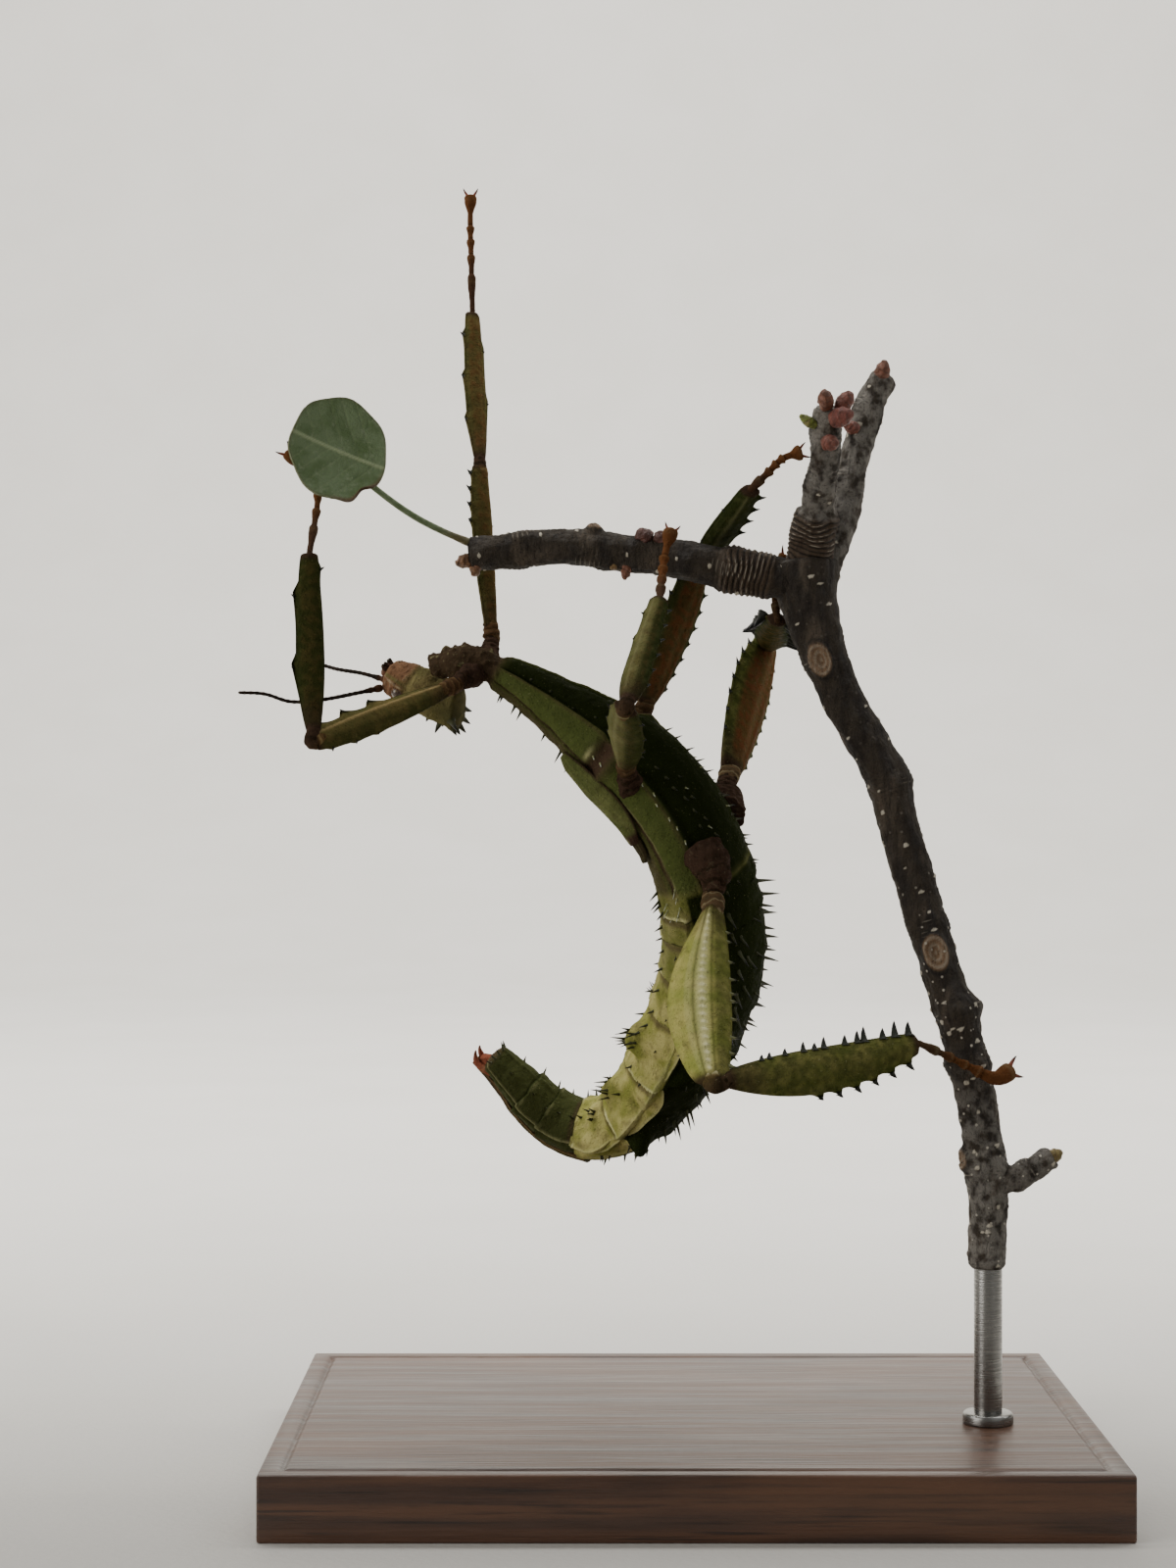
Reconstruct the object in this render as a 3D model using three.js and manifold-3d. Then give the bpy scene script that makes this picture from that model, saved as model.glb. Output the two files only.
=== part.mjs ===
// Giant prickly stick insect, adult female, life size, hanging back down from a twig
// that a display stand holds. Millimetres, +Z up, origin at the middle of the base's underside.
import * as THREE from "three";
import Module from "manifold-3d";
import { mergeVertices } from "three/addons/utils/BufferGeometryUtils.js";

const wasm = await Module();
wasm.setup();

// ---------------------------------------------------------------- driving sizes (mm, degrees)

const GAP = 0.3;                                   // left between neighbouring pieces
const WAIST = new THREE.Vector3(0.8, 0, 91.4);     // where the thorax meets the abdomen
const HANG_SLOPE = 41.3;                           // thorax axis below the level, head high
const HANG_ROLL = 32;                              // turn of the body about its own axis

// The insect's own axes: +X to the tail, +Y to its left, +Z out of its belly.
// Its midline starts at the neck and runs through these segments. bend turns it to the back.
const NECK = { x: -45.2, z: -6.8, heading: 72 };
const SEGMENTS = [
  { name: "prothorax", length: 10.3, bend: -57, width: [4.6, 5.4], depth: [4.0, 4.8] },
  { name: "mesothorax", length: 21.6, bend: -11, width: [6.2, 16.8], depth: [4.8, 11.2], swell: 1.25 },
  { name: "metathorax", length: 25.0, bend: -45, width: [17.0, 20.4], depth: [11.4, 13.4] },
  { name: "abdomen_2", length: 7.1, bend: -8, width: [20.4, 21.0], depth: [13.4, 14.4] },
  { name: "abdomen_3", length: 8.3, bend: -17, width: [21.0, 21.2], depth: [14.4, 15.0] },
  { name: "abdomen_4", length: 10.4, bend: -8, width: [21.2, 20.2], depth: [15.0, 14.4] },
  { name: "abdomen_5", length: 10.0, bend: -10, width: [20.0, 17.8], depth: [14.2, 13.4], lobe: 2.4 },
  { name: "abdomen_6", length: 9.4, bend: -11, width: [17.4, 13.8], depth: [13.0, 10.8], lobe: 2.2 },
  { name: "abdomen_7", length: 7.7, bend: -45, width: [13.4, 10.8], depth: [10.6, 8.4], lobe: 1.6 },
  { name: "abdomen_8", length: 6.4, bend: -35, width: [10.4, 9.4], depth: [8.2, 7.4] },
  { name: "abdomen_9", length: 4.6, bend: -13, width: [9.2, 8.6], depth: [7.2, 6.6] },
  { name: "abdomen_10", length: 8.0, bend: 6, width: [8.2, 5.2], depth: [6.4, 4.2] },
];

// Head: a cone whose broad end is the face and whose narrow end is the spined crown.
const HEAD = { x: -50.8, z: -12.5, heading: 14, length: 13.2, eye: 0.95, crownSpine: 2.0 };

// Legs. Lengths are shared by the left and right leg of a pair. A turn is [azimuth, elevation]
// of the piece that follows, from +X towards +Y and up from the level. Full is how far along a
// piece it is broadest, and Bow is how far its middle is bent sideways.
const LEG_SIZE = {
  fore: {
    femur: 26.8, tibia: 26.5, femurWidth: 4.1, tibiaWidth: 3.7, thick: 2.1,
    knee: 1.3, tarsus: 1.2, teeth: 5, coxa: 1.4, femurFull: 0.66, tibiaFull: 0.42,
  },
  mid: {
    femur: 24.3, tibia: 23.5, femurWidth: 5.6, tibiaWidth: 4.3, thick: 2.7,
    knee: 1.45, tarsus: 1.2, teeth: 4, coxa: 1.8, femurFull: 0.6, tibiaFull: 0.38,
  },
  hind: {
    femur: 31.0, tibia: 30.2, femurWidth: 9.2, tibiaWidth: 6.6, thick: 3.9,
    knee: 1.7, tarsus: 1.3, teeth: 6, coxa: 2.5, femurFull: 0.64, tibiaFull: 0.45,
  },
};
const LEGS = [
  {
    name: "fore_right", size: "fore", root: [-40.1, -2.8, -1.4], hip: [-40.7, -7.6, -1.6],
    femur: [-137, -18], femurFaces: [-50, 30], tibia: [102, 78], tibiaFaces: [-80, -10],
    tarsus: [[7.4, 88, 42], [4.6, 86, 58], [2.6, -178, 71], [5.5, -147, 42]],
  },
  {
    name: "fore_left", size: "fore", root: [-40.1, 2.8, -1.4], hip: [-41.6, 6.8, -0.8],
    femur: [112, 79], femurFaces: [-40, 0], tibia: [99, 68], tibiaFaces: [-55, 0],
    tarsus: [[8, 99, 78], [6.5, 99, 78], [5, 90, 79]],
  },
  {
    name: "mid_right", size: "mid", root: [-11.4, -6.4, 3.8], hip: [-14.4, -9.6, 8.0],
    femur: [-91, 19], femurFaces: [-10, 60], tibia: [74, 41], tibiaFaces: [-100, 5],
    tarsus: [[7.5, 86, 24], [5.6, 82, 45], [4.6, 64, 59]],
  },
  {
    name: "mid_left", size: "mid", root: [-13.0, 8.0, 3.4], hip: [-17.8, 11.6, 3.9],
    femur: [12.6, 68.5], femurFaces: [-40, -5], tibia: [-73, 22], tibiaFaces: [90, 66],
    tarsus: [[3.2, 6, 44], [3.0, 0, 44], [3.0, 8, 20]],
  },
  {
    name: "hind_right", size: "hind", root: [0.8, -7.8, 2.8], hip: [6.8, -11.4, 2.6],
    femur: [-92, -51], femurFaces: [-95, 39], tibia: [19, 8], tibiaFaces: [-85, 15],
    femurBow: 0.7, tibiaBow: 1.2,
    tarsus: [[7.6, 54, -16], [4.9, 27, -24], [3.9, 0, -24], [3.4, 36, 15]],
  },
  {
    name: "hind_left", size: "hind", root: [0.8, 7.8, 2.8], hip: [-1.6, 15.4, 2.9],
    femur: [71, 43], femurFaces: [-26, 8], tibia: [-91, 5], tibiaFaces: [-10, 70],
    femurBow: -0.9,
    tarsus: [[4.3, 102, 69], [3.1, 2, 82], [2.8, -20, 60]],
  },
];

// Antennae: routes from the face.
const ANTENNA_WIDTH = 0.64;
const ANTENNAE = {
  right: [
    [-44.9, 5.6, 114.2], [-48.4, 2.8, 113.3], [-53.2, 1.0, 112.3],
    [-57.6, 0, 112.0], [-61.4, -0.6, 113.1], [-65.2, -1, 113.3],
  ],
  left: [
    [-44.1, 9.0, 115.4], [-48.2, 11.5, 116.6], [-52.4, 14.6, 117.4],
    [-56.0, 18.4, 118.6], [-59.4, 23.0, 120.0],
  ],
};

// Perch: middle line of each length of twig, its radius from end to end, its knots as
// [place, height], and how far apart its rings are.
const PERCH = {
  perch_stem: {
    route: [
      [17.2, -0.5, 132.6], [18.0, -0.9, 126.0], [22.2, -1.6, 113.1], [28.2, -2.6, 102.1],
      [31.5, -3.8, 91.2], [34.3, -5, 80.4], [37.1, -6.2, 70.7], [40.2, -7.4, 61.0],
      [41.6, -8.2, 51.4], [42.6, -8.6, 43], [42.7, -9, 31],
    ],
    radius: [3.1, 2.7], knots: [[0.13, 0.6], [0.33, 0.9], [0.53, 0.5], [0.87, 0.9]], pitch: 7,
  },
  perch_branch: {
    route: [
      [15.6, -1.1, 129.7], [12.7, -1.4, 129.9], [6.4, -1, 131.3], [0, -0.5, 132.5],
      [-14.3, 0, 134.3], [-22.2, 0, 134.3], [-31.7, 0, 133.4],
    ],
    radius: [3.0, 2.4], knots: [[0.2, 0.6], [0.62, 0.4], [0.84, 0.5]], pitch: 5,
  },
  perch_twig: {
    route: [
      [17.4, -0.5, 130.8], [18.3, -3.2, 136.1], [18.9, -6, 141.5],
      [19.5, -8.6, 147.5], [19.6, -10.6, 153.5],
    ],
    radius: [2.5, 1.9], knots: [[0.55, 0.4], [0.84, 0.8]], pitch: 4,
  },
  perch_upper: {
    route: [
      [18.8, 0.4, 129.7], [22.5, 2.4, 137.4], [24.5, 3.8, 146.1],
      [26.8, 5, 154.4], [29.4, 5.6, 160.4],
    ],
    radius: [2.6, 2.0], knots: [[0.45, 0.4], [0.8, 0.5]], pitch: 6,
  },
  perch_stub: {
    route: [[42.6, -8.6, 43.0], [47.1, -9, 44.1], [51.9, -9.6, 47.0]],
    radius: [2.1, 1.6], knots: [[0.5, 0.3]], pitch: 4,
  },
};
const LEAF = { centre: [-49.6, -13.2, 146.9], reach: 7.6, breadth: 7.0, thick: 0.7, turn: [-72, 8] };
const STALK = [
  [-31.2, -0.2, 135.0], [-35.3, -2.4, 136.6], [-38.9, -6.2, 138.2],
  [-42.2, -9.8, 140.2], [-46.2, -12.7, 143.2],
];
const STALK_RADIUS = 0.5;

// Stand: a flat base and one rod let into the cut end of the stem.
const BASE = { length: 116, depth: 78, thick: 9, bevel: 1.2 };
const ROD = { radius: 2, socket: 8, clearance: 0.3, foot: 4, sides: 14 };

// ---------------------------------------------------------------- colours

const paint = (color, roughness, metalness = 0) =>
  new THREE.MeshStandardMaterial({ color, roughness, metalness });
const GREEN = paint(0x7f8a3c, 0.6);
const DARK_GREEN = paint(0x4d5c2c, 0.6);
const BROWN = paint(0x5d4334, 0.7);
const LEG_GREEN = paint(0x80803c, 0.6);
const CLAW_RED = paint(0x8a3d26, 0.5);
const EYE_DARK = paint(0x2c2418, 0.2);
const HORN_DARK = paint(0x1c1813, 0.5);
const WING = paint(0x77855a, 0.6);
const BARK = paint(0x4b443c, 0.9);
const LEAF_GREEN = paint(0x5f7548, 0.6);
const SLATE = paint(0x2e2b28, 0.5);
const STEEL = paint(0x9a9a98, 0.3, 1);

// ---------------------------------------------------------------- solids

const RAD = Math.PI / 180;
const vec = (list) => new THREE.Vector3(...list);
const mix = (a, b, t) => a + (b - a) * t;
const bump = (t, middle, half) => Math.max(0, 1 - ((t - middle) / half) ** 2);

function heading([azimuth, elevation]) {
  const level = Math.cos(elevation * RAD);
  return new THREE.Vector3(
    level * Math.cos(azimuth * RAD), level * Math.sin(azimuth * RAD), Math.sin(elevation * RAD));
}

function volumeOf(geometry) {
  const place = geometry.attributes.position;
  const corner = [new THREE.Vector3(), new THREE.Vector3(), new THREE.Vector3()];
  let total = 0;
  for (let i = 0; i < geometry.index.count; i += 3) {
    corner.forEach((c, k) => c.fromBufferAttribute(place, geometry.index.getX(i + k)));
    total += corner[0].dot(corner[1].cross(corner[2])) / 6;
  }
  return total;
}

// One closed body with shared vertices and its faces out.
function closed(geometry) {
  geometry.deleteAttribute("normal");
  geometry.deleteAttribute("uv");
  const body = mergeVertices(geometry, 1e-3);
  const corners = [];
  for (let i = 0; i < body.index.count; i += 3) {
    const [a, b, c] = [0, 1, 2].map((k) => body.index.getX(i + k));
    if (a !== b && b !== c && c !== a) corners.push(a, b, c);
  }
  body.setIndex(corners);
  if (volumeOf(body) < 0) {
    for (let i = 0; i < corners.length; i += 3) {
      [corners[i], corners[i + 1]] = [corners[i + 1], corners[i]];
    }
    body.setIndex(corners);
  }
  return body;
}

function toSolid(geometry) {
  const body = closed(geometry);
  return new wasm.Manifold(new wasm.Mesh({
    numProp: 3,
    vertProperties: new Float32Array(body.attributes.position.array),
    triVerts: new Uint32Array(body.index.array),
  }));
}

function toGeometry(manifold) {
  const mesh = manifold.getMesh();
  const geometry = new THREE.BufferGeometry();
  const places = new Float32Array(mesh.vertProperties);
  geometry.setAttribute("position", new THREE.BufferAttribute(places, 3));
  geometry.setIndex([...mesh.triVerts]);
  return geometry;
}

const join = (first, others) => others.reduce((sum, next) => sum.add(toSolid(next)), toSolid(first));

// A closed tube of `around` sides, with one ring at each of the stations (0 to 1).
// place(t, angle) gives a ring's point; the ends are closed by flat fans.
function loft(around, stations, place) {
  const geometry = new THREE.CylinderGeometry(1, 1, 1, around, stations.length - 1);
  const position = geometry.attributes.position;
  for (let i = 0; i < position.count; i++) {
    const [x, y, z] = [position.getX(i), position.getY(i), position.getZ(i)];
    const t = stations[Math.round((0.5 - y) * (stations.length - 1))];
    const onRing = Math.hypot(x, z) > 0.5;
    const angle = Math.atan2(x, z);
    const point = onRing ? place(t, angle) : place(t, 0).lerp(place(t, Math.PI), 0.5);
    position.setXYZ(i, point.x, point.y, point.z);
  }
  return geometry;
}

const evenly = (count) => Array.from({ length: count + 1 }, (_, i) => i / count);

// A spine is a slim pyramid, its foot sunk a little into what it grows from.
function spine(foot, towards, length, radius, sides = 3) {
  const sink = radius * 1.2;
  const cone = new THREE.ConeGeometry(radius, length + sink, sides);
  cone.translate(0, (length + sink) / 2 - sink, 0);
  cone.applyQuaternion(new THREE.Quaternion().setFromUnitVectors(
    new THREE.Vector3(0, 1, 0), towards.clone().normalize()));
  cone.translate(foot.x, foot.y, foot.z);
  return cone;
}

// A round tube along a smooth route, with its radius as a function of t.
function tube(route, around, stations, radiusAt, flatten = 1) {
  const curve = new THREE.CatmullRomCurve3(route, false, "centripetal");
  return loft(around, stations, (t, angle) => {
    const along = curve.getTangentAt(t);
    const side = new THREE.Vector3(0.13, 0.99, 0.07).cross(along).normalize();
    const up = along.clone().cross(side);
    const r = radiusAt(t, angle);
    return curve.getPointAt(t)
      .addScaledVector(side, r * Math.cos(angle))
      .addScaledVector(up, r * flatten * Math.sin(angle));
  });
}

// ---------------------------------------------------------------- scene graph

const part = new THREE.Group();
const insect = new THREE.Group();
insect.position.copy(WAIST);
insect.rotation.set(HANG_ROLL * RAD, HANG_SLOPE * RAD, 0, "YXZ");
insect.updateMatrix();
part.add(insect);

function addNode(group, name, geometry, material) {
  const mesh = new THREE.Mesh(geometry, material);
  mesh.name = name;
  group.add(mesh);
}

const toWorld = (list) => vec(list).applyMatrix4(insect.matrix);

// ---------------------------------------------------------------- body

// Each segment's start on the midline and its place along it.
let walk = { ...NECK };
for (const segment of SEGMENTS) {
  segment.start = walk;
  const half = (walk.heading + segment.bend / 2) * RAD;
  const turn = segment.bend * RAD / 2;
  const chord = segment.length * Math.sin(turn) / turn;
  walk = {
    x: walk.x + chord * Math.cos(half),
    z: walk.z + chord * Math.sin(half),
    heading: walk.heading + segment.bend,
  };
}

// A place in the insect's axes: t along the segment, out to its left, and up to its belly.
function onSegment(segment, t, left, up) {
  const turn = segment.bend * t * RAD;
  const half = segment.start.heading * RAD + turn / 2;
  const chord = segment.length * t * (Math.abs(turn) < 1e-6 ? 1 : Math.sin(turn / 2) / (turn / 2));
  const tangent = segment.start.heading * RAD + turn;
  return new THREE.Vector3(
    segment.start.x + chord * Math.cos(half) - up * Math.sin(tangent),
    left,
    segment.start.z + chord * Math.sin(half) + up * Math.cos(tangent));
}

const LOBE_EDGE = 9;                               // how sharply a side lobe thins out
const PLATE_TUCK = 0.955;                          // each plate tucks in at its two ends
const SEGMENT_TAPER = 0.9;

// A point on a segment's surface. angle 0 is its left flank, 90 its belly, -90 its back.
function surface(segment, t, angle, lift = 0) {
  const share = Math.max(t, 0) ** (segment.swell ?? SEGMENT_TAPER);
  const halfWidth = mix(...segment.width, share) / 2;
  const halfDepth = mix(...segment.depth, share) / 2;
  const lobeRise = Math.sin(Math.PI * Math.min(1, t * 1.05)) * Math.abs(Math.cos(angle)) ** LOBE_EDGE;
  const lobe = (segment.lobe ?? 0) * lobeRise * Math.sign(Math.cos(angle));
  const fold = t < 0.02 || t > 0.98 ? PLATE_TUCK : 1;
  const left = (halfWidth * fold + lift) * Math.cos(angle) + lobe;
  const up = (halfDepth * fold + lift) * Math.sin(angle);
  return onSegment(segment, t, left, up);
}

function outwards(segment, t, angle, lean = 0) {
  const foot = surface(segment, t, angle);
  const axis = onSegment(segment, t, 0, 0);
  const back = onSegment(segment, Math.min(1, t + 0.05), 0, 0).sub(axis).normalize();
  return foot.sub(axis).normalize().addScaledVector(back, lean).normalize();
}

// Spines on the body: [segment, t, angle, length]. Each with an angle off the middle line is mirrored.
const BODY_SPINES = [
  ["prothorax", 0.5, 60, 0.9],
  ["mesothorax", 0.08, -60, 1.7], ["mesothorax", 0.2, -62, 1.9], ["mesothorax", 0.52, -52, 2.2],
  ["mesothorax", 0.74, -58, 2.0], ["mesothorax", 0.42, 84, 1.0], ["mesothorax", 0.62, 78, 1.1],
  ["mesothorax", 0.82, 72, 1.2], ["mesothorax", 0.3, 30, 0.9], ["mesothorax", 0.66, 34, 1.0],
  ["metathorax", 0.2, 76, 1.3], ["metathorax", 0.42, 82, 1.4], ["metathorax", 0.66, 74, 1.4],
  ["metathorax", 0.86, -64, 2.0], ["metathorax", 0.95, -34, 1.8], ["metathorax", 0.88, 80, 1.6],
  ["abdomen_2", 0.3, 84, 2.2], ["abdomen_2", 0.75, 70, 2.4],
  ["abdomen_2", 0.88, -72, 1.4], ["abdomen_2", 0.85, 20, 1.5],
  ["abdomen_3", 0.25, 84, 2.6], ["abdomen_3", 0.7, 70, 2.6],
  ["abdomen_3", 0.88, -72, 1.6], ["abdomen_3", 0.85, 20, 1.6],
  ["abdomen_4", 0.25, 84, 2.6], ["abdomen_4", 0.7, 70, 2.4],
  ["abdomen_4", 0.88, -74, 1.8], ["abdomen_4", 0.85, 12, 1.6],
  ["abdomen_5", 0.3, 76, 2.0], ["abdomen_5", 0.78, 66, 1.8], ["abdomen_5", 0.5, -84, 2.2],
  ["abdomen_5", 0.68, -72, 3.0], ["abdomen_5", 0.85, -80, 2.4], ["abdomen_5", 0.6, 0, 1.6],
  ["abdomen_6", 0.4, 70, 1.4], ["abdomen_6", 0.5, -80, 2.2], ["abdomen_6", 0.72, -66, 2.8],
  ["abdomen_6", 0.88, -80, 2.2], ["abdomen_6", 0.7, 0, 1.5],
  ["abdomen_7", 0.5, 64, 1.2], ["abdomen_7", 0.8, -66, 1.4], ["abdomen_7", 0.6, 0, 1.8],
  ["abdomen_8", 0.8, -58, 1.2], ["abdomen_9", 0.8, -58, 1.3], ["abdomen_10", 0.3, -56, 1.1],
];
const SPINE_RADIUS = 0.34;
const SPINE_LEAN = 0.35;

function segmentSpines(segment) {
  const spines = [];
  for (const [name, t, angle, length] of BODY_SPINES) {
    if (name !== segment.name) continue;
    for (const turned of [angle, 180 - angle]) {
      const towards = outwards(segment, t, turned * RAD, SPINE_LEAN);
      spines.push(spine(surface(segment, t, turned * RAD), towards, length, SPINE_RADIUS));
    }
  }
  return spines;
}

const AROUND_BODY = { prothorax: 10, abdomen_8: 12, abdomen_9: 12, abdomen_10: 10 };
const ALONG_BODY = { prothorax: 3, mesothorax: 5, metathorax: 5 };
const DEFAULT_AROUND = 14;
const DEFAULT_ALONG = 2;

for (const segment of SEGMENTS) {
  const trim = GAP / 2 / segment.length;
  const steps = ALONG_BODY[segment.name] ?? DEFAULT_ALONG;
  const stations = evenly(steps).map((t) => mix(trim, 1 - trim, t));
  stations.splice(1, 0, trim + 0.04);
  stations.splice(-1, 0, 1 - trim - 0.04);
  const shell = loft(AROUND_BODY[segment.name] ?? DEFAULT_AROUND, stations,
    (t, angle) => surface(segment, t, angle));
  segment.solid = join(shell, segmentSpines(segment));
}
const segmentNamed = (name) => SEGMENTS.find((segment) => segment.name === name);

// Coxae, each let into a socket in the body's flank. profile is [t, share of the full radius].
const COXA_PROFILE = [[0, 0.6], [0.12, 1], [0.55, 1], [0.85, 1], [1, 0.6]];
const COXA_CARRIERS = {
  fore: ["prothorax", "mesothorax"],
  mid: ["mesothorax", "metathorax"],
  hind: ["metathorax", "abdomen_2"],
};
function coxaShape(leg, grow) {
  const [root, hip] = [vec(leg.root), vec(leg.hip)];
  const size = LEG_SIZE[leg.size];
  const start = root.clone().addScaledVector(hip.clone().sub(root).normalize(), -grow);
  const share = (t) => COXA_PROFILE.find(([at]) => at === t)[1];
  return tube([start, root.clone().lerp(hip, 0.5), hip], 6, COXA_PROFILE.map(([at]) => at),
    (t) => mix(size.coxa, size.knee * 0.85, t) * share(t) + grow);
}
const coxaSockets = new Map();
for (const leg of LEGS) {
  const socket = toSolid(coxaShape(leg, GAP));
  coxaSockets.set(leg.name, socket);
  for (const name of COXA_CARRIERS[leg.size]) {
    const segment = segmentNamed(name);
    segment.solid = segment.solid.subtract(socket);
  }
  addNode(insect, `coxa_${leg.name}`, closed(coxaShape(leg, 0)), BROWN);
}

// ---------------------------------------------------------------- head

const headAxis = new THREE.Vector3(Math.cos(HEAD.heading * RAD), 0, Math.sin(HEAD.heading * RAD));
const headUp = new THREE.Vector3(-headAxis.z, 0, headAxis.x);      // to the throat
const HEAD_RINGS = [                                               // [t, half width, to throat, to brow]
  [0, 1.5, 1.3, 1.5], [0.05, 2.1, 1.8, 2.0], [0.16, 2.6, 2.4, 2.5], [0.3, 2.9, 2.9, 2.7],
  [0.48, 3.0, 3.3, 2.7], [0.66, 2.8, 3.4, 2.7], [0.82, 2.5, 3.0, 2.6], [0.94, 2.2, 2.3, 2.5],
  [1, 1.7, 1.7, 1.9],
];
const ringAt = (t) => HEAD_RINGS.find((ring) => ring[0] >= t);
function headPoint(t, left, up) {
  return new THREE.Vector3(HEAD.x, left, HEAD.z)
    .addScaledVector(headAxis, HEAD.length * t)
    .addScaledVector(headUp, up);
}
function headSurface(t, angle) {
  const [, halfWidth, throat, brow] = ringAt(t);
  const halfDepth = Math.sin(angle) > 0 ? throat : brow;
  return headPoint(t, halfWidth * Math.cos(angle), halfDepth * Math.sin(angle));
}
const headShell = loft(10, HEAD_RINGS.map(([at]) => at), headSurface);

// The crown: rings of spines round the narrow end, as [t, count, reach, first turn].
const CROWN = [[0.95, 6, 1, 0.06], [0.8, 4, 0.62, 0.21], [0.6, 2, 0.3, 0.15]];
const CROWN_SPINE_RADIUS = 0.42;
const crown = [];
for (const [t, count, reach, first] of CROWN) {
  for (let i = 0; i < count; i++) {
    const angle = -Math.PI * (0.02 + 0.96 * (i + first) / (count - 0.4));
    const foot = headSurface(t, angle).lerp(headPoint(t, 0, 0), 0.06);
    const towards = foot.clone().sub(headPoint(t - 0.08 - 0.12 * reach, 0, 0));
    crown.push(spine(foot, towards, HEAD.crownSpine * reach + 0.3, CROWN_SPINE_RADIUS));
  }
}
let headSolid = join(headShell, crown);

function ball(radius, centre, around = 8, rings = 5) {
  return new THREE.SphereGeometry(radius, around, rings).translate(centre.x, centre.y, centre.z);
}

const EYE_PLACE = { t: 0.26, left: 2.55, up: -0.7 };
for (const side of ["left", "right"]) {
  const left = side === "left" ? EYE_PLACE.left : -EYE_PLACE.left;
  const centre = headPoint(EYE_PLACE.t, left, EYE_PLACE.up);
  headSolid = headSolid.subtract(toSolid(ball(HEAD.eye + GAP, centre)));
  addNode(insect, `eye_${side}`, closed(ball(HEAD.eye, centre)), EYE_DARK);
}

// Antennae, each with room for its root in the face.
const ANTENNA_STATIONS = 9;
const ANTENNA_ROOT = 0.22;                         // added to the radius at the root
const ANTENNA_BEAD = 0.05;                         // and at every other station
const intoInsect = insect.matrix.clone().invert();
for (const [side, route] of Object.entries(ANTENNAE)) {
  const geometry = tube(route.map(vec), 5, evenly(ANTENNA_STATIONS), (t) =>
    ANTENNA_WIDTH / 2 + ANTENNA_ROOT * bump(t, 0, 0.12)
      + ANTENNA_BEAD * (Math.round(t * ANTENNA_STATIONS) % 2));
  addNode(part, `antenna_${side}`, closed(geometry), HORN_DARK);
  const root = vec(route[0]).applyMatrix4(intoInsect);
  headSolid = headSolid.subtract(toSolid(ball(ANTENNA_WIDTH / 2 + ANTENNA_ROOT + GAP, root)));
}

// The neck end of the prothorax is let into the head.
const prothorax = segmentNamed("prothorax");
const neckCut = loft(10, [-0.06, 0.5, 1], (t, angle) => surface(prothorax, t, angle, GAP));
addNode(insect, "head", toGeometry(headSolid.subtract(toSolid(neckCut))), GREEN);

// Mouthparts: upper lip with four palps that curl round the mouth, as [side, up, length].
const PALPS = [[0.9, 0.9, 1.9], [0.45, 1.2, 1.3]];
const PALP_RADIUS = 0.34;
const lip = new THREE.SphereGeometry(1, 8, 5).scale(0.75, 1.25, 1.15);
lip.translate(...headPoint(-0.09, 0, 0.2).toArray());
const palps = [];
for (const side of [1, -1]) {
  for (const [left, up, length] of PALPS) {
    const towards = headUp.clone().multiplyScalar(0.6).addScaledVector(headAxis, -0.9)
      .add(new THREE.Vector3(0, side * 0.35, 0));
    palps.push(spine(headPoint(-0.08, side * left, up * 0.7), towards, length, PALP_RADIUS));
  }
}
const faceCut = loft(10, HEAD_RINGS.slice(0, 4).map(([at]) => at),
  (t, angle) => headSurface(t, angle).addScaledVector(headAxis, -GAP));
const mouthparts = join(lip, palps).subtract(toSolid(faceCut));
addNode(insect, "mouthparts", toGeometry(mouthparts), BROWN);

// ---------------------------------------------------------------- wing covers, tail

// A plate that lies on a run of segments: t along the run, w from -1 to 1 across it.
function plate(steps, across, thick, place) {
  const geometry = new THREE.BoxGeometry(1, 1, 1, steps, across, 1);
  const position = geometry.attributes.position;
  for (let i = 0; i < position.count; i++) {
    const t = position.getX(i) + 0.5;
    const w = position.getY(i) * 2;
    const point = place(t, w, (position.getZ(i) + 0.5) * thick);
    position.setXYZ(i, point.x, point.y, point.z);
  }
  return closed(geometry);
}

// A point over the body at a distance `along` from the neck, whatever segment that is on.
function overBody(along, angle, lift) {
  let rest = along;
  let segment = SEGMENTS[0];
  for (segment of SEGMENTS) {
    if (rest <= segment.length) break;
    rest -= segment.length;
  }
  const t = Math.min(Math.max(rest / segment.length, 0.03), 0.97);
  return surface(segment, t, angle, lift);
}

const TEGMEN = { start: 26.5, length: 17.5, thick: 0.6, lift: 0.6, midAngle: -148, halfAngle: 24 };
const leafWidth = (t) => Math.max(0.08, Math.sin(Math.PI * Math.min(1, 0.06 + 0.9 * t)) ** 0.55);
for (const side of ["right", "left"]) {
  const geometry = plate(7, 2, TEGMEN.thick, (t, w, lift) => {
    const spread = TEGMEN.midAngle + TEGMEN.halfAngle * w * leafWidth(t);
    const angle = (side === "right" ? spread : 180 - spread) * RAD;
    const arch = 0.5 * (1 - w * w) + 1.2 * t * t;
    return overBody(TEGMEN.start + TEGMEN.length * t, angle, TEGMEN.lift + arch + lift);
  });
  const tegmen = toSolid(geometry).subtract(coxaSockets.get(`mid_${side}`));
  addNode(insect, `tegmen_${side}`, toGeometry(tegmen), WING);
}

const OPERCULUM = { start: 109.2, length: 19.2, thick: 0.8, lift: 0.6, halfAngle: 34 };
const operculum = plate(7, 2, OPERCULUM.thick, (t, w, lift) => {
  const angle = (90 + OPERCULUM.halfAngle * w * (1 - 0.72 * t ** 1.6)) * RAD;
  const rise = OPERCULUM.lift + 0.5 * (1 - w * w) + lift;
  return overBody(OPERCULUM.start + OPERCULUM.length * t, angle, rise);
});
addNode(insect, "operculum", operculum, BROWN);

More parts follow.
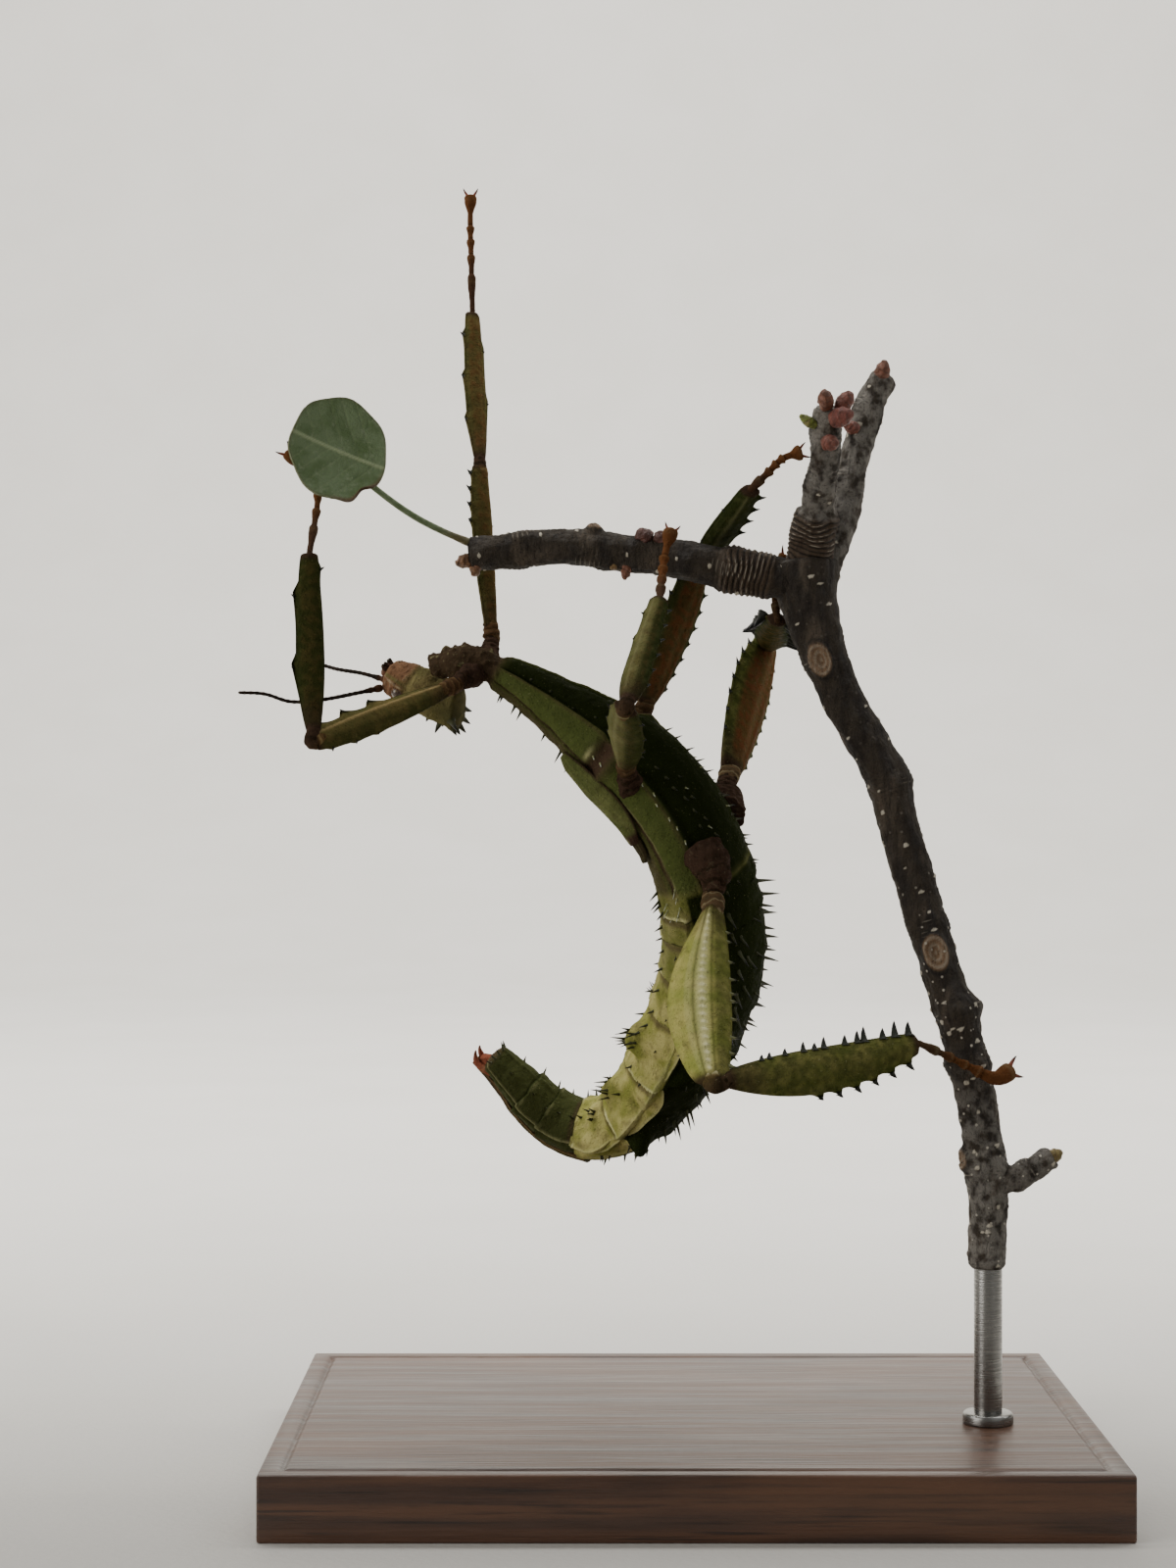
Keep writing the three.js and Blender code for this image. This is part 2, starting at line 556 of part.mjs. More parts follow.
// Cerci: two short curved feelers on one root at the tail's end.
const lastSegment = segmentNamed("abdomen_10");
const tailEnd = onSegment(lastSegment, 1, 0, 0);
const tailWay = tailEnd.clone().sub(onSegment(lastSegment, 0.9, 0, 0)).normalize();
const tailUp = onSegment(lastSegment, 1, 0, 1).sub(tailEnd);
const cercusTo = (left, back) => tailEnd.clone().addScaledVector(tailWay, back)
  .add(new THREE.Vector3(0, left, 0)).addScaledVector(tailUp, 0.9);
const cercusRoute = (side) => [
  cercusTo(side * 0.7, GAP + 0.3), cercusTo(side * 1.3, 1.3), cercusTo(side * 1.1, 2.5)];
const CERCUS_RADIUS = 0.5;
const CERCI_ROOT_RADIUS = 0.85;
const cercus = (side) =>
  tube(cercusRoute(side), 5, evenly(3), (t) => CERCUS_RADIUS * (1 - 0.45 * t));
const cerciRoot = ball(CERCI_ROOT_RADIUS, cercusTo(0, GAP + 0.75), 6, 5);
const cerci = join(cerciRoot, [cercus(1), cercus(-1)]);
addNode(insect, "cerci", toGeometry(cerci), CLAW_RED);

const BODY_COLOURS = { prothorax: BROWN, mesothorax: DARK_GREEN, metathorax: DARK_GREEN };
for (const segment of SEGMENTS) {
  addNode(insect, segment.name, toGeometry(segment.solid), BODY_COLOURS[segment.name] ?? GREEN);
}

// ---------------------------------------------------------------- legs

const TEETH_FROM = 0.13;                           // where the toothed run of a blade is
const TEETH_TO = 0.93;
const TOOTH_LEAN = 0.62;                           // a tooth's tip, as a share of its foot
const CORE = 0.62;                                 // width of a blade's thick middle

// A flat blade with a thick middle and toothed edges, broad across `faces`.
function blade(from, to, faces, { width, thick, neck, teeth, toothHeight, fullAt, bow = 0 }) {
  const axis = to.clone().sub(from);
  const length = axis.length();
  axis.normalize();
  const broad = axis.clone().cross(faces).normalize();
  const flat = broad.clone().cross(axis).normalize();
  const stations = [0, 0.04];
  const pitch = (TEETH_TO - TEETH_FROM) / teeth;
  const tips = new Set();
  for (let i = 0; i < teeth; i++) {
    const foot = TEETH_FROM + pitch * i;
    const tip = foot + pitch * TOOTH_LEAN;
    stations.push(foot, tip);
    tips.add(tip);
  }
  stations.push(0.94, 1);
  const spread = (t) => {
    const quarter = t < fullAt ? 1 - t / fullAt : (t - fullAt) / (1 - fullAt);
    return mix(neck, width / 2, Math.max(0, Math.cos(Math.PI / 2 * quarter)) ** 0.75);
  };
  return loft(6, stations, (t, angle) => {
    const step = Math.round(((angle / RAD) + 360) % 360 / 60) % 6;
    const half = spread(t);
    const core = CORE * half * Math.sign(Math.cos(angle));
    const rise = mix(neck * 0.9, thick / 2, Math.sin(Math.PI * Math.min(1, 0.1 + 0.85 * t)) ** 0.7);
    const tooth = tips.has(t) ? toothHeight : 0;
    const across = step % 3 === 0 ? (half + tooth) * Math.sign(Math.cos(angle)) : core;
    const out = step % 3 === 0 ? 0 : rise * Math.sign(Math.sin(angle));
    return from.clone().addScaledVector(axis, length * t)
      .addScaledVector(broad, across + bow * Math.sin(Math.PI * t)).addScaledVector(flat, out);
  });
}

const CLAW = { length: 1.9, radius: 0.42 };
const gripCuts = [];
for (const leg of LEGS) {
  const size = LEG_SIZE[leg.size];
  const hip = toWorld(leg.hip);
  const femurWay = heading(leg.femur);
  const tibiaWay = heading(leg.tibia);
  const knee = hip.clone().addScaledVector(femurWay, size.femur);
  const ankle = knee.clone().addScaledVector(tibiaWay, size.tibia);

  const hipClear = GAP + size.knee * 0.7;
  const femurStart = hip.clone().addScaledVector(femurWay, hipClear);
  const femurWith = (grow) => {
    const femur = blade(femurStart, knee, heading(leg.femurFaces), {
      width: size.femurWidth + 2 * grow, thick: size.thick + 2 * grow, neck: size.knee * 0.62 + grow,
      teeth: size.teeth, toothHeight: size.femurWidth * 0.11, fullAt: size.femurFull,
      bow: leg.femurBow,
    });
    return join(femur, [ball(size.knee + grow, knee, 6, 4)]);
  };
  addNode(part, `femur_${leg.name}`, toGeometry(femurWith(0)), LEG_GREEN);

  const tibiaStart = knee.clone().addScaledVector(tibiaWay, size.knee + GAP);
  const tibiaEnd = ankle.clone().addScaledVector(tibiaWay, -GAP);
  const tibia = toSolid(blade(tibiaStart, tibiaEnd, heading(leg.tibiaFaces), {
    width: size.tibiaWidth, thick: size.thick * 0.75, neck: size.tarsus * 0.62,
    teeth: size.teeth, toothHeight: size.tibiaWidth * 0.16, fullAt: size.tibiaFull,
    bow: leg.tibiaBow,
  })).subtract(femurWith(GAP));

  // Tarsus: five joints that swell to their far ends, a pad and two claws.
  const route = [ankle.clone().addScaledVector(tibiaWay, size.tarsus * 0.2)];
  for (const [length, ...turn] of leg.tarsus) {
    route.push(route.at(-1).clone().addScaledVector(heading(turn), length));
  }
  const joints = [0, 0.34, 0.5, 0.62, 0.72, 1];
  const stations = [0];
  for (let i = 1; i < joints.length; i++) {
    stations.push(mix(joints[i - 1], joints[i], 0.25), mix(joints[i - 1], joints[i], 0.85));
  }
  stations.push(1);
  const swell = (t) => {
    const next = joints.findIndex((joint) => joint >= t - 1e-6);
    if (next <= 0) return 0.62;
    const share = (t - joints[next - 1]) / (joints[next] - joints[next - 1]);
    return share > 0.99 ? 0.66 : share > 0.6 ? 1 : 0.72;
  };
  const last = route.at(-1);
  const lastWay = heading(leg.tarsus.at(-1).slice(1));
  const sideWay = lastWay.clone().cross(heading([-90, 0])).normalize();
  const footWith = (grow) => join(
    tube(route, 4, stations, (t) => size.tarsus / 2 * swell(t) + grow),
    [1, -1].map((side) => spine(
      last.clone().addScaledVector(sideWay, side * 0.25),
      sideWay.clone().multiplyScalar(side * 0.9).addScaledVector(lastWay, 0.8),
      CLAW.length + grow, CLAW.radius + grow)));
  gripCuts.push(footWith(GAP));
  addNode(part, `tarsus_${leg.name}`, toGeometry(footWith(0)), CLAW_RED);
  addNode(part, `tibia_${leg.name}`, toGeometry(tibia.subtract(footWith(GAP))), LEG_GREEN);
}

// ---------------------------------------------------------------- perch

const PERCH_AROUND = 8;
function twig({ route, radius, knots, pitch }, grow = 0) {
  const points = route.map(vec);
  const steps = Math.round(new THREE.CatmullRomCurve3(points).getLength() / pitch);
  return tube(points, PERCH_AROUND, evenly(steps), (t, angle) => {
    const knot = knots.reduce((sum, [at, height]) =>
      sum + height * bump(t, at, 0.09) * (0.6 + 0.4 * Math.cos(angle - 9 * at)), 0);
    return mix(...radius, t) + knot + 0.12 * Math.sin(3 * angle + 20 * t) + grow;
  });
}

// Each length of twig makes way for those listed before it, and all for the feet.
const twigs = Object.entries(PERCH).map(([name, shape]) => ({ name, solid: toSolid(twig(shape)) }));
const twigCuts = Object.values(PERCH).map((shape) => toSolid(twig(shape, GAP)));
twigs.forEach((entry, place) => {
  for (const cut of [...twigCuts.slice(0, place), ...gripCuts]) {
    entry.solid = entry.solid.subtract(cut);
  }
});
const branchCut = twigCuts[1];

// Leaf: a round blade on a stalk, cupped a little.
const leafFace = heading(LEAF.turn);
const leafUp = new THREE.Vector3(-0.18, 0, 1).addScaledVector(leafFace, -leafFace.z).normalize();
const leafSide = leafUp.clone().cross(leafFace).normalize();
const leafBlade = new THREE.SphereGeometry(1, 14, 6);
const leafPlaces = leafBlade.attributes.position;
for (let i = 0; i < leafPlaces.count; i++) {
  const [a, b, c] = [leafPlaces.getX(i), leafPlaces.getZ(i), leafPlaces.getY(i)];
  const out = Math.hypot(a, b);
  const cup = 1.1 * out * out - 0.5 * a * a;
  const point = vec(LEAF.centre)
    .addScaledVector(leafSide, a * LEAF.breadth)
    .addScaledVector(leafUp, b * LEAF.reach)
    .addScaledVector(leafFace, Math.sign(c) * Math.abs(c) ** 0.5 * LEAF.thick / 2 + cup);
  leafPlaces.setXYZ(i, point.x, point.y, point.z);
}
const stalk = tube(STALK.map(vec), 5, evenly(7), () => STALK_RADIUS);
const leafWhole = join(leafBlade, [stalk]).subtract(branchCut);
const leafSolid = gripCuts.reduce((leaf, cut) => leaf.subtract(cut), leafWhole);
addNode(part, "perch_leaf", toGeometry(leafSolid), LEAF_GREEN);

// ---------------------------------------------------------------- stand

const stemEnd = vec(PERCH.perch_stem.route.at(-1));
function upright(radius, from, to) {
  const post = new THREE.CylinderGeometry(radius, radius, to - from, ROD.sides);
  return post.rotateX(Math.PI / 2).translate(stemEnd.x, stemEnd.y, (from + to) / 2);
}
const holeRadius = ROD.radius + ROD.clearance;
const socket = upright(holeRadius, stemEnd.z - ROD.socket, stemEnd.z + ROD.socket);
twigs[0].solid = twigs[0].solid.subtract(toSolid(socket));
for (const { name, solid } of twigs) addNode(part, name, toGeometry(solid), BARK);

const plan = new THREE.Shape();
const [halfLength, halfDepth] = [BASE.length / 2 - BASE.bevel, BASE.depth / 2 - BASE.bevel];
plan.moveTo(-halfLength, -halfDepth);
plan.lineTo(halfLength, -halfDepth);
plan.lineTo(halfLength, halfDepth);
plan.lineTo(-halfLength, halfDepth);
plan.closePath();
const slab = new THREE.ExtrudeGeometry(plan, {
  depth: BASE.thick - 2 * BASE.bevel, bevelEnabled: true, bevelThickness: BASE.bevel,
  bevelSize: BASE.bevel, bevelSegments: 1, steps: 1,
});
slab.translate(0, 0, BASE.bevel);
const rodHole = upright(holeRadius, BASE.thick - ROD.foot, BASE.thick + ROD.foot);
addNode(part, "stand_base", toGeometry(toSolid(slab).subtract(toSolid(rodHole))), SLATE);

const rod = upright(ROD.radius, BASE.thick - ROD.foot + GAP, stemEnd.z + ROD.socket - GAP);
addNode(part, "stand_rod", closed(rod), STEEL);

export default part;
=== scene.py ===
"""Giant prickly stick insect hanging from a twig: skins, spines, bark, stand and studio.

Shapes are worked out in millimetres and brought to metres when a piece is finished.
"""
import math

import bmesh
import bpy
import numpy as np
from mathutils import Matrix, Vector, noise


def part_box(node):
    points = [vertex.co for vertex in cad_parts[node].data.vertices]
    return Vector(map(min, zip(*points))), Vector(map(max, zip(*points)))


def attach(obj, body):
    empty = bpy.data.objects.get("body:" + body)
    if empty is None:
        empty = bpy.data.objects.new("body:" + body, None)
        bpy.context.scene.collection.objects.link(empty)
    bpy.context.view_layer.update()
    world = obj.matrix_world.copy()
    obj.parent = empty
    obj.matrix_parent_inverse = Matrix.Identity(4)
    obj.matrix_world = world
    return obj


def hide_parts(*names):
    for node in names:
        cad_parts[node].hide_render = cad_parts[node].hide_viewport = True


bl_info = {
    "name": "Prickly Stick Insect",
    "version": (1, 0, 0),
    "blender": (4, 5, 0),
    "location": "3D Viewport > Sidebar > Insect",
    "description": "A life-size stick insect on its twig and stand",
    "category": "Add Mesh",
}

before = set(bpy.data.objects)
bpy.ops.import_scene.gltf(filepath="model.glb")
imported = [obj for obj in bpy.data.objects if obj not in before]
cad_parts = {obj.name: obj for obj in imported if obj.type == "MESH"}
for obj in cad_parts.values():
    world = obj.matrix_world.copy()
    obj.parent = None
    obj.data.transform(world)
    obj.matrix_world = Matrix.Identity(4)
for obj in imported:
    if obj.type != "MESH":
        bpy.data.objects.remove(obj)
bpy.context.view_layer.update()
MM = 0.001

# ---- sizes of the animal (mm)

WAIST = Vector((0.8, 0, 91.4))
HANG_SLOPE = 41.3
HANG_ROLL = 32
INSECT = (Matrix.Translation(WAIST)
          @ Matrix.Rotation(math.radians(HANG_SLOPE), 4, "Y")
          @ Matrix.Rotation(math.radians(HANG_ROLL), 4, "X"))

NECK = (-45.2, -6.8, 72)
SEGMENTS = (
    ("prothorax", 10.3, -57, (4.6, 5.4), (4, 4.8)),
    ("mesothorax", 21.6, -11, (6.2, 16.8), (4.8, 11.2)),
    ("metathorax", 25, -45, (17, 20.4), (11.4, 13.4)),
    ("abdomen_2", 7.1, -8, (20.4, 21), (13.4, 14.4)),
    ("abdomen_3", 8.3, -17, (21, 21.2), (14.4, 15)),
    ("abdomen_4", 10.4, -8, (21.2, 20.2), (15, 14.4)),
    ("abdomen_5", 10, -10, (20, 17.8), (14.2, 13.4)),
    ("abdomen_6", 9.4, -11, (17.4, 13.8), (13, 10.8)),
    ("abdomen_7", 7.7, -45, (13.4, 10.8), (10.6, 8.4)),
    ("abdomen_8", 6.4, -35, (10.4, 9.4), (8.2, 7.4)),
    ("abdomen_9", 4.6, -13, (9.2, 8.6), (7.2, 6.6)),
    ("abdomen_10", 8, 6, (8.2, 5.2), (6.4, 4.2)),
)
MESO_SWELL = 1.25
TAPER = 0.9
SIDE_LOBES = {"abdomen_5": 2.4, "abdomen_6": 2.2, "abdomen_7": 1.6}

HEAD = {"x": -50.4, "z": -12.5, "heading": 14, "length": 12.9}
# share of the head's length, half width, half depth to the throat and to the brow
HEAD_RINGS = (
    (0, 1.6, 1.5, 1.6), (0.05, 2.2, 2, 2.2), (0.16, 2.7, 2.5, 2.7), (0.3, 2.9, 2.9, 2.9),
    (0.48, 3, 3.3, 3), (0.66, 2.9, 3.5, 2.9), (0.82, 2.7, 3.4, 2.7), (0.94, 2.6, 3.2, 2.5),
    (1, 2.4, 2.9, 2.3),
)
EYE = {"t": 0.26, "left": 2.55, "up": -0.7, "radius": 0.95}

LEG_SIZE = {
    "fore": {"femur": 26.8, "tibia": 26.5, "femur_width": 4.1, "tibia_width": 3.7, "thick": 2.1,
             "knee": 1.3, "tarsus": 1.2, "coxa": 1.4, "femur_full": 0.66, "tibia_full": 0.42},
    "mid": {"femur": 24.3, "tibia": 23.5, "femur_width": 5.6, "tibia_width": 4.3, "thick": 2.7,
            "knee": 1.45, "tarsus": 1.4, "coxa": 1.8, "femur_full": 0.6, "tibia_full": 0.38},
    "hind": {"femur": 31, "tibia": 30.2, "femur_width": 9.2, "tibia_width": 6.6, "thick": 3.9,
             "knee": 1.7, "tarsus": 1.3, "coxa": 2.5, "femur_full": 0.57, "tibia_full": 0.45},
}
LEGS = {
    "fore_right": {
        "root": (-40.1, -2.8, -1.4), "hip": (-40.7, -7.6, -1.6),
        "femur": (-137, -18), "femur_faces": (-50, 30), "tibia": (102, 78), "tibia_faces": (-80, -10),
        "tarsus": ((7.4, 88, 42), (4.6, 86, 58), (2.6, -178, 71), (5.5, -147, 42))},
    "fore_left": {
        "root": (-40.1, 2.8, -1.4), "hip": (-41.6, 6.8, -0.8),
        "femur": (112, 79), "femur_faces": (-40, 0), "tibia": (99, 68), "tibia_faces": (-55, 0),
        "tarsus": ((8, 99, 78), (6.5, 99, 78), (5, 90, 79))},
    "mid_right": {
        "root": (-11.4, -6.4, 3.8), "hip": (-14.4, -9.6, 8),
        "femur": (-91, 19), "femur_faces": (-10, 60), "tibia": (74, 41), "tibia_faces": (-100, 5),
        "tibia_full": 0.24,
        "tarsus": ((7.5, 86, 24), (5.6, 82, 45), (4.6, 64, 59))},
    "mid_left": {
        "root": (-13, 8, 3.4), "hip": (-17.8, 11.6, 3.9),
        "femur": (12.6, 68.5), "femur_faces": (-40, -5), "tibia": (-73, 22), "tibia_faces": (90, 66),
        "tarsus": ((3.2, 6, 44), (3, 0, 44), (3, 8, 20))},
    "hind_right": {
        "root": (0.8, -7.8, 2.8), "hip": (6.8, -11.4, 2.6),
        "femur": (-92, -51), "femur_faces": (-95, 39), "tibia": (19, 8), "tibia_faces": (-85, 15),
        "femur_bow": 0.7, "tibia_bow": 1.2,
        "tarsus": ((7.6, 54, -16), (4.9, 27, -24), (3.9, 0, -24), (3.4, 36, 15))},
    "hind_left": {
        "root": (0.8, 7.8, 2.8), "hip": (-1.6, 15.4, 2.9),
        "femur": (71, 43), "femur_faces": (-26, 8), "tibia": (-91, 5), "tibia_faces": (-10, 70),
        "femur_bow": -0.9,
        "tarsus": ((4.3, 102, 69), (3.1, 2, 82), (2.8, -20, 60))},
}
# the two edges of each leg blade, the broad side's first: share of the plain half width, how
# pointed it is, teeth, their height, start and end, spines, their first and last length
BLADES = {
    "femur_fore_right": (
        (0.9, 0.75, 3, 0.9, 0.42, 0.99, 3, 0.5, 0.8),
        (1.15, 0.75, 3, 0.25, 0.5, 0.97, 3, 0.4, 0.7)),
    "tibia_fore_right": (
        (0.95, 0.75, 1, 0.3, 0.8, 0.99, 1, 0.8, 0.8),
        (1.2, 0.75, 2, 0.7, 0.14, 0.93, 2, 0.4, 0.6)),
    "femur_fore_left": (
        (0.8, 0.75, 0, 0, 0.1, 0.9, 2, 0.5, 0.7),
        (1.3, 0.75, 4, 0.7, 0.6, 0.98, 4, 0.5, 0.9)),
    "tibia_fore_left": (
        (0.9, 0.75, 2, 0.3, 0.2, 0.9, 2, 0.5, 0.6),
        (1.1, 0.75, 3, 0.5, 0.1, 0.95, 3, 0.5, 0.8)),
    "femur_mid_right": (
        (1, 0.6, 3, 0.3, 0.3, 0.95, 3, 0.5, 0.7),
        (1, 0.75, 3, 0.3, 0.3, 0.95, 3, 0.5, 0.7)),
    "tibia_mid_right": (
        (0.85, 0.75, 6, 0.35, 0.1, 0.95, 6, 0.6, 0.9),
        (0.85, 0.75, 2, 0.25, 0.45, 0.95, 2, 0.5, 0.6)),
    "femur_mid_left": (
        (1.4, 0.6, 8, 0.5, 0.1, 0.97, 8, 0.8, 1.2),
        (1.35, 0.6, 7, 0.35, 0.25, 0.97, 7, 0.7, 1)),
    "tibia_mid_left": (
        (1, 0.75, 0, 0, 0.1, 0.9, 2, 0.5, 0.6),
        (1.1, 0.75, 4, 0.7, 0.35, 0.97, 4, 0.8, 1.1)),
    "femur_hind_right": (
        (1.25, 1.2, 0, 0, 0.1, 0.9, 3, 0.4, 0.5),
        (0.7, 0.75, 0, 0, 0.1, 0.95, 10, 0.9, 1.4)),
    "tibia_hind_right": (
        (0.95, 0.75, 6, 0.9, 0.4, 0.97, 6, 0.8, 1.2),
        (0.95, 0.75, 0, 0, 0.16, 0.99, 12, 1, 2.5)),
    "femur_hind_left": (
        (1.2, 0.6, 8, 0.6, 0.12, 0.97, 8, 0.8, 1.2),
        (1.2, 0.6, 8, 0.55, 0.12, 0.97, 8, 0.8, 1.2)),
    "tibia_hind_left": (
        (0.9, 0.75, 5, 0.5, 0.3, 0.95, 6, 2.6, 3.4),
        (0.9, 0.75, 5, 0.5, 0.3, 0.95, 6, 2.6, 3.4)),
}
# How each blade is coloured: pale band and its place across, beads along it, orange-brown
# middle, dark all over, dark on the half away from the broad side
BLADE_LOOKS = {
    "femur_fore_right": (0.8, 0.4, 0, 0.2, 0.35, 0.6), "tibia_fore_right": (0, 0, 0, 0.25, 0.85, 0.1),
    "femur_fore_left": (0.2, 0.3, 0, 0.5, 0.5, 0.2), "tibia_fore_left": (0.2, 0.2, 0, 0.55, 0.4, 0.2),
    "femur_mid_right": (0.4, 0.3, 0, 0.25, 0, 0.7), "tibia_mid_right": (0.4, -0.4, 0, 0.3, 0.1, -0.8),
    "femur_mid_left": (0.2, 0, 0, 0.8, 0.7, 0), "tibia_mid_left": (0.45, 0.1, 0, 0.1, 0.85, 0),
    "femur_hind_right": (0.85, 0.14, 25, 0, 0, 0.6), "tibia_hind_right": (0, 0, 0, 0.15, 0.75, 0),
    "femur_hind_left": (0.15, 0, 0, 0.95, 0.8, 0), "tibia_hind_left": (0, 0, 0, 0.4, 1, 0),
}

ANTENNA_WIDTH = 0.64
ANTENNAE = {
    "right": ((-44.9, 5.6, 114.2), (-48.4, 2.8, 113.3), (-53.2, 1, 112.3),
              (-57.6, 0, 112), (-61.4, -0.6, 113.1), (-65.2, -1, 113.3)),
    "left": ((-44.1, 9, 115.4), (-48.2, 11.5, 116.6), (-52.4, 14.6, 117.4),
             (-56, 18.4, 118.6), (-59.4, 23, 120)),
}

# twigs: middle line, radius from end to end, knots as (share of the length, height, perhaps the turn)
PERCH = {
    "perch_stem": {
        "route": ((17.2, -0.5, 132.6), (18, -0.9, 126), (22.2, -1.6, 113.1), (28.2, -2.6, 102.1),
                  (31.5, -3.8, 91.2), (34.3, -5, 80.4), (37.1, -6.2, 70.7), (40.2, -7.4, 61),
                  (41.6, -8.2, 51.4), (42.6, -8.6, 43), (42.7, -9, 31)),
        "radius": (3.1, 2.7), "knots": ((0.13, 0.6), (0.33, 0.9), (0.53, 0.5), (0.655, 1.3, -140),
                                         (0.72, 1.1, -40), (0.87, 0.9))},
    "perch_branch": {
        "route": ((15.6, -1.1, 129.7), (12.7, -1.4, 129.9), (6.4, -1, 131.3), (0, -0.5, 132.5),
                  (-14.3, 0, 134.3), (-22.2, 0, 134.3), (-31.7, 0, 133.4)),
        "radius": (3, 2.4), "knots": ((0.2, 0.6), (0.62, 0.4), (0.84, 0.5))},
    "perch_twig": {
        "route": ((17.4, -0.5, 130.8), (18.3, -3.2, 136.1), (18.9, -6, 141.5),
                  (19.5, -8.6, 147.5), (19.6, -10.6, 153.5)),
        "radius": (2.5, 1.9), "knots": ((0.55, 0.4), (0.84, 0.8))},
    "perch_upper": {
        "route": ((18.8, 0.4, 129.7), (22.5, 2.4, 137.4), (24.5, 3.8, 146.1),
                  (26.8, 5, 154.4), (29.4, 5.6, 160.4)),
        "radius": (2.6, 2), "knots": ((0.45, 0.4), (0.8, 0.5))},
    "perch_stub": {
        "route": ((42.6, -8.6, 43), (47.1, -9, 44.1), (51.9, -9.6, 47)),
        "radius": (2.1, 1.6), "knots": ((0.5, 0.3),)},
}
LEAF = {"centre": (-49.6, -13.2, 146.9), "reach": 7.6, "breadth": 7, "thick": 0.6, "turn": (-72, 8)}
STALK = ((-31.2, -0.2, 135), (-35.3, -2.4, 136.6), (-38.9, -6.2, 138.2),
         (-42.2, -9.8, 140.2), (-46.2, -12.7, 143.2))

CAMERA_PLACE = (-14.3, -400, 100)
CAMERA_LENS = 63


# ---- small tools

def only(obj):
    """Selects and activates this object alone."""
    bpy.ops.object.select_all(action="DESELECT")
    obj.select_set(True)
    bpy.context.view_layer.objects.active = obj


def join(pieces, name):
    """Joins objects into one."""
    only(pieces[0])
    for piece in pieces[1:]:
        piece.select_set(True)
    if len(pieces) > 1:
        bpy.ops.object.join()
    whole = bpy.context.object
    whole.name = name
    return whole


def fresh(add, name, **settings):
    """Adds a primitive at its place, with nothing else selected."""
    bpy.ops.object.select_all(action="DESELECT")
    add(**settings)
    bpy.ops.object.transform_apply(location=True)
    obj = bpy.context.object
    obj.name = name
    return obj


def edit_all():
    """Opens the active mesh for editing, with all of it selected."""
    bpy.ops.object.mode_set(mode="EDIT")
    bpy.ops.mesh.select_all(action="SELECT")


def pick(obj, kind, wanted):
    """Selects those faces or edges of the edited mesh that are wanted, and no others."""
    bpy.ops.mesh.select_all(action="DESELECT")
    mesh = bmesh.from_edit_mesh(obj.data)
    mesh.normal_update()
    for part in getattr(mesh, kind):
        part.select_set(wanted(part))
    bmesh.update_edit_mesh(obj.data)


def face_out():
    """Turns all faces of the edited mesh outward, and leaves edit mode."""
    bpy.ops.mesh.select_all(action="SELECT")
    bpy.ops.mesh.normals_make_consistent(inside=False)
    bpy.ops.object.mode_set(mode="OBJECT")


def bevel(obj, width, segments, sharpest=30):
    """Rounds the active object's edges that turn by more than the sharpest angle, in degrees."""
    edge = obj.modifiers.new("Edge", "BEVEL")
    edge.width, edge.segments, edge.limit_method = width, segments, "ANGLE"
    edge.angle_limit = math.radians(sharpest)
    bpy.ops.object.modifier_apply(modifier=edge.name)


def heading(turn):
    """The direction of an (azimuth, elevation) in degrees."""
    azimuth, elevation = (math.radians(angle) for angle in turn)
    level = math.cos(elevation)
    return Vector((level * math.cos(azimuth), level * math.sin(azimuth), math.sin(elevation)))


def extrude(rise):
    """Extrudes what is selected upward."""
    bpy.ops.mesh.extrude_region_move(TRANSFORM_OT_translate={"value": (0, 0, rise)})


def straight_tube(name, around, rings, cuts):
    """A closed tube of radius 1 from z = 0 to 1, extruded ring by ring and subdivided."""
    tube = fresh(bpy.ops.mesh.primitive_circle_add, name, vertices=around, radius=1, fill_type="TRIFAN")
    tube["around"] = around
    edit_all()
    for _ in range(rings):
        extrude(1 / rings)
    bpy.ops.mesh.select_all(action="SELECT")
    bpy.ops.mesh.subdivide(number_cuts=cuts)
    face_out()
    return tube


def places(obj):
    """All vertex places, as an array."""
    flat = np.empty(len(obj.data.vertices) * 3)
    obj.data.vertices.foreach_get("co", flat)
    return flat.reshape(-1, 3)


def put(obj, points):
    """Moves all vertices to these places."""
    obj.data.vertices.foreach_set("co", np.asarray(points, float).ravel())
    obj.data.update()


def push_out(obj, middle, lift):
    """Moves each vertex by its lift, away from its place on the middle line."""
    points = places(obj)
    away = points - middle
    away /= np.maximum(np.linalg.norm(away, axis=1, keepdims=True), 1e-6)
    put(obj, points + away * lift[:, None])


def mark(obj, **layers):
    """Stores a number on each vertex for each named layer; the back of a sheet repeats its front."""
    for name, values in layers.items():
        layer = obj.data.attributes.get(name) or obj.data.attributes.new(name, "FLOAT", "POINT")
        spread = np.resize(values, len(obj.data.vertices))
        layer.data.foreach_set("value", np.clip(spread, 0, 1).astype(np.float32))


def wrap(tube, axis, wall):
    """Lays a straight tube along axis(t) with its wall at wall(t, turn)."""
    x, y, z = places(tube).T
    t, turn = np.clip(z, 0, 1), np.arctan2(y, x)
    sector = 2 * math.pi / tube["around"]
    chord = math.cos(sector / 2) / np.cos(np.mod(turn, sector) - sector / 2)
    out = np.clip(np.hypot(x, y) / chord, 0, 1)[:, None]
    middle = axis(t)
    put(tube, middle + out * (wall(t, turn) - middle))
    return t, turn


def rough(points, size, seed=0):
    """Smooth noise from about -1 to 1, with lumps of the given size."""
    start = Vector((seed, 1.7 * seed, -seed))
    return np.array([noise.noise(Vector(point) / size + start) for point in points])


def rough_round(tube, along, around, seed):
    """Smooth noise on a straight tube, with this many lumps along it and round it."""
    x, y, z = places(tube).T
    turn = np.arctan2(y, x)
    spots = np.stack([along * z, around * np.cos(turn), around * np.sin(turn)], axis=1)
    return rough(spots, 1, seed)


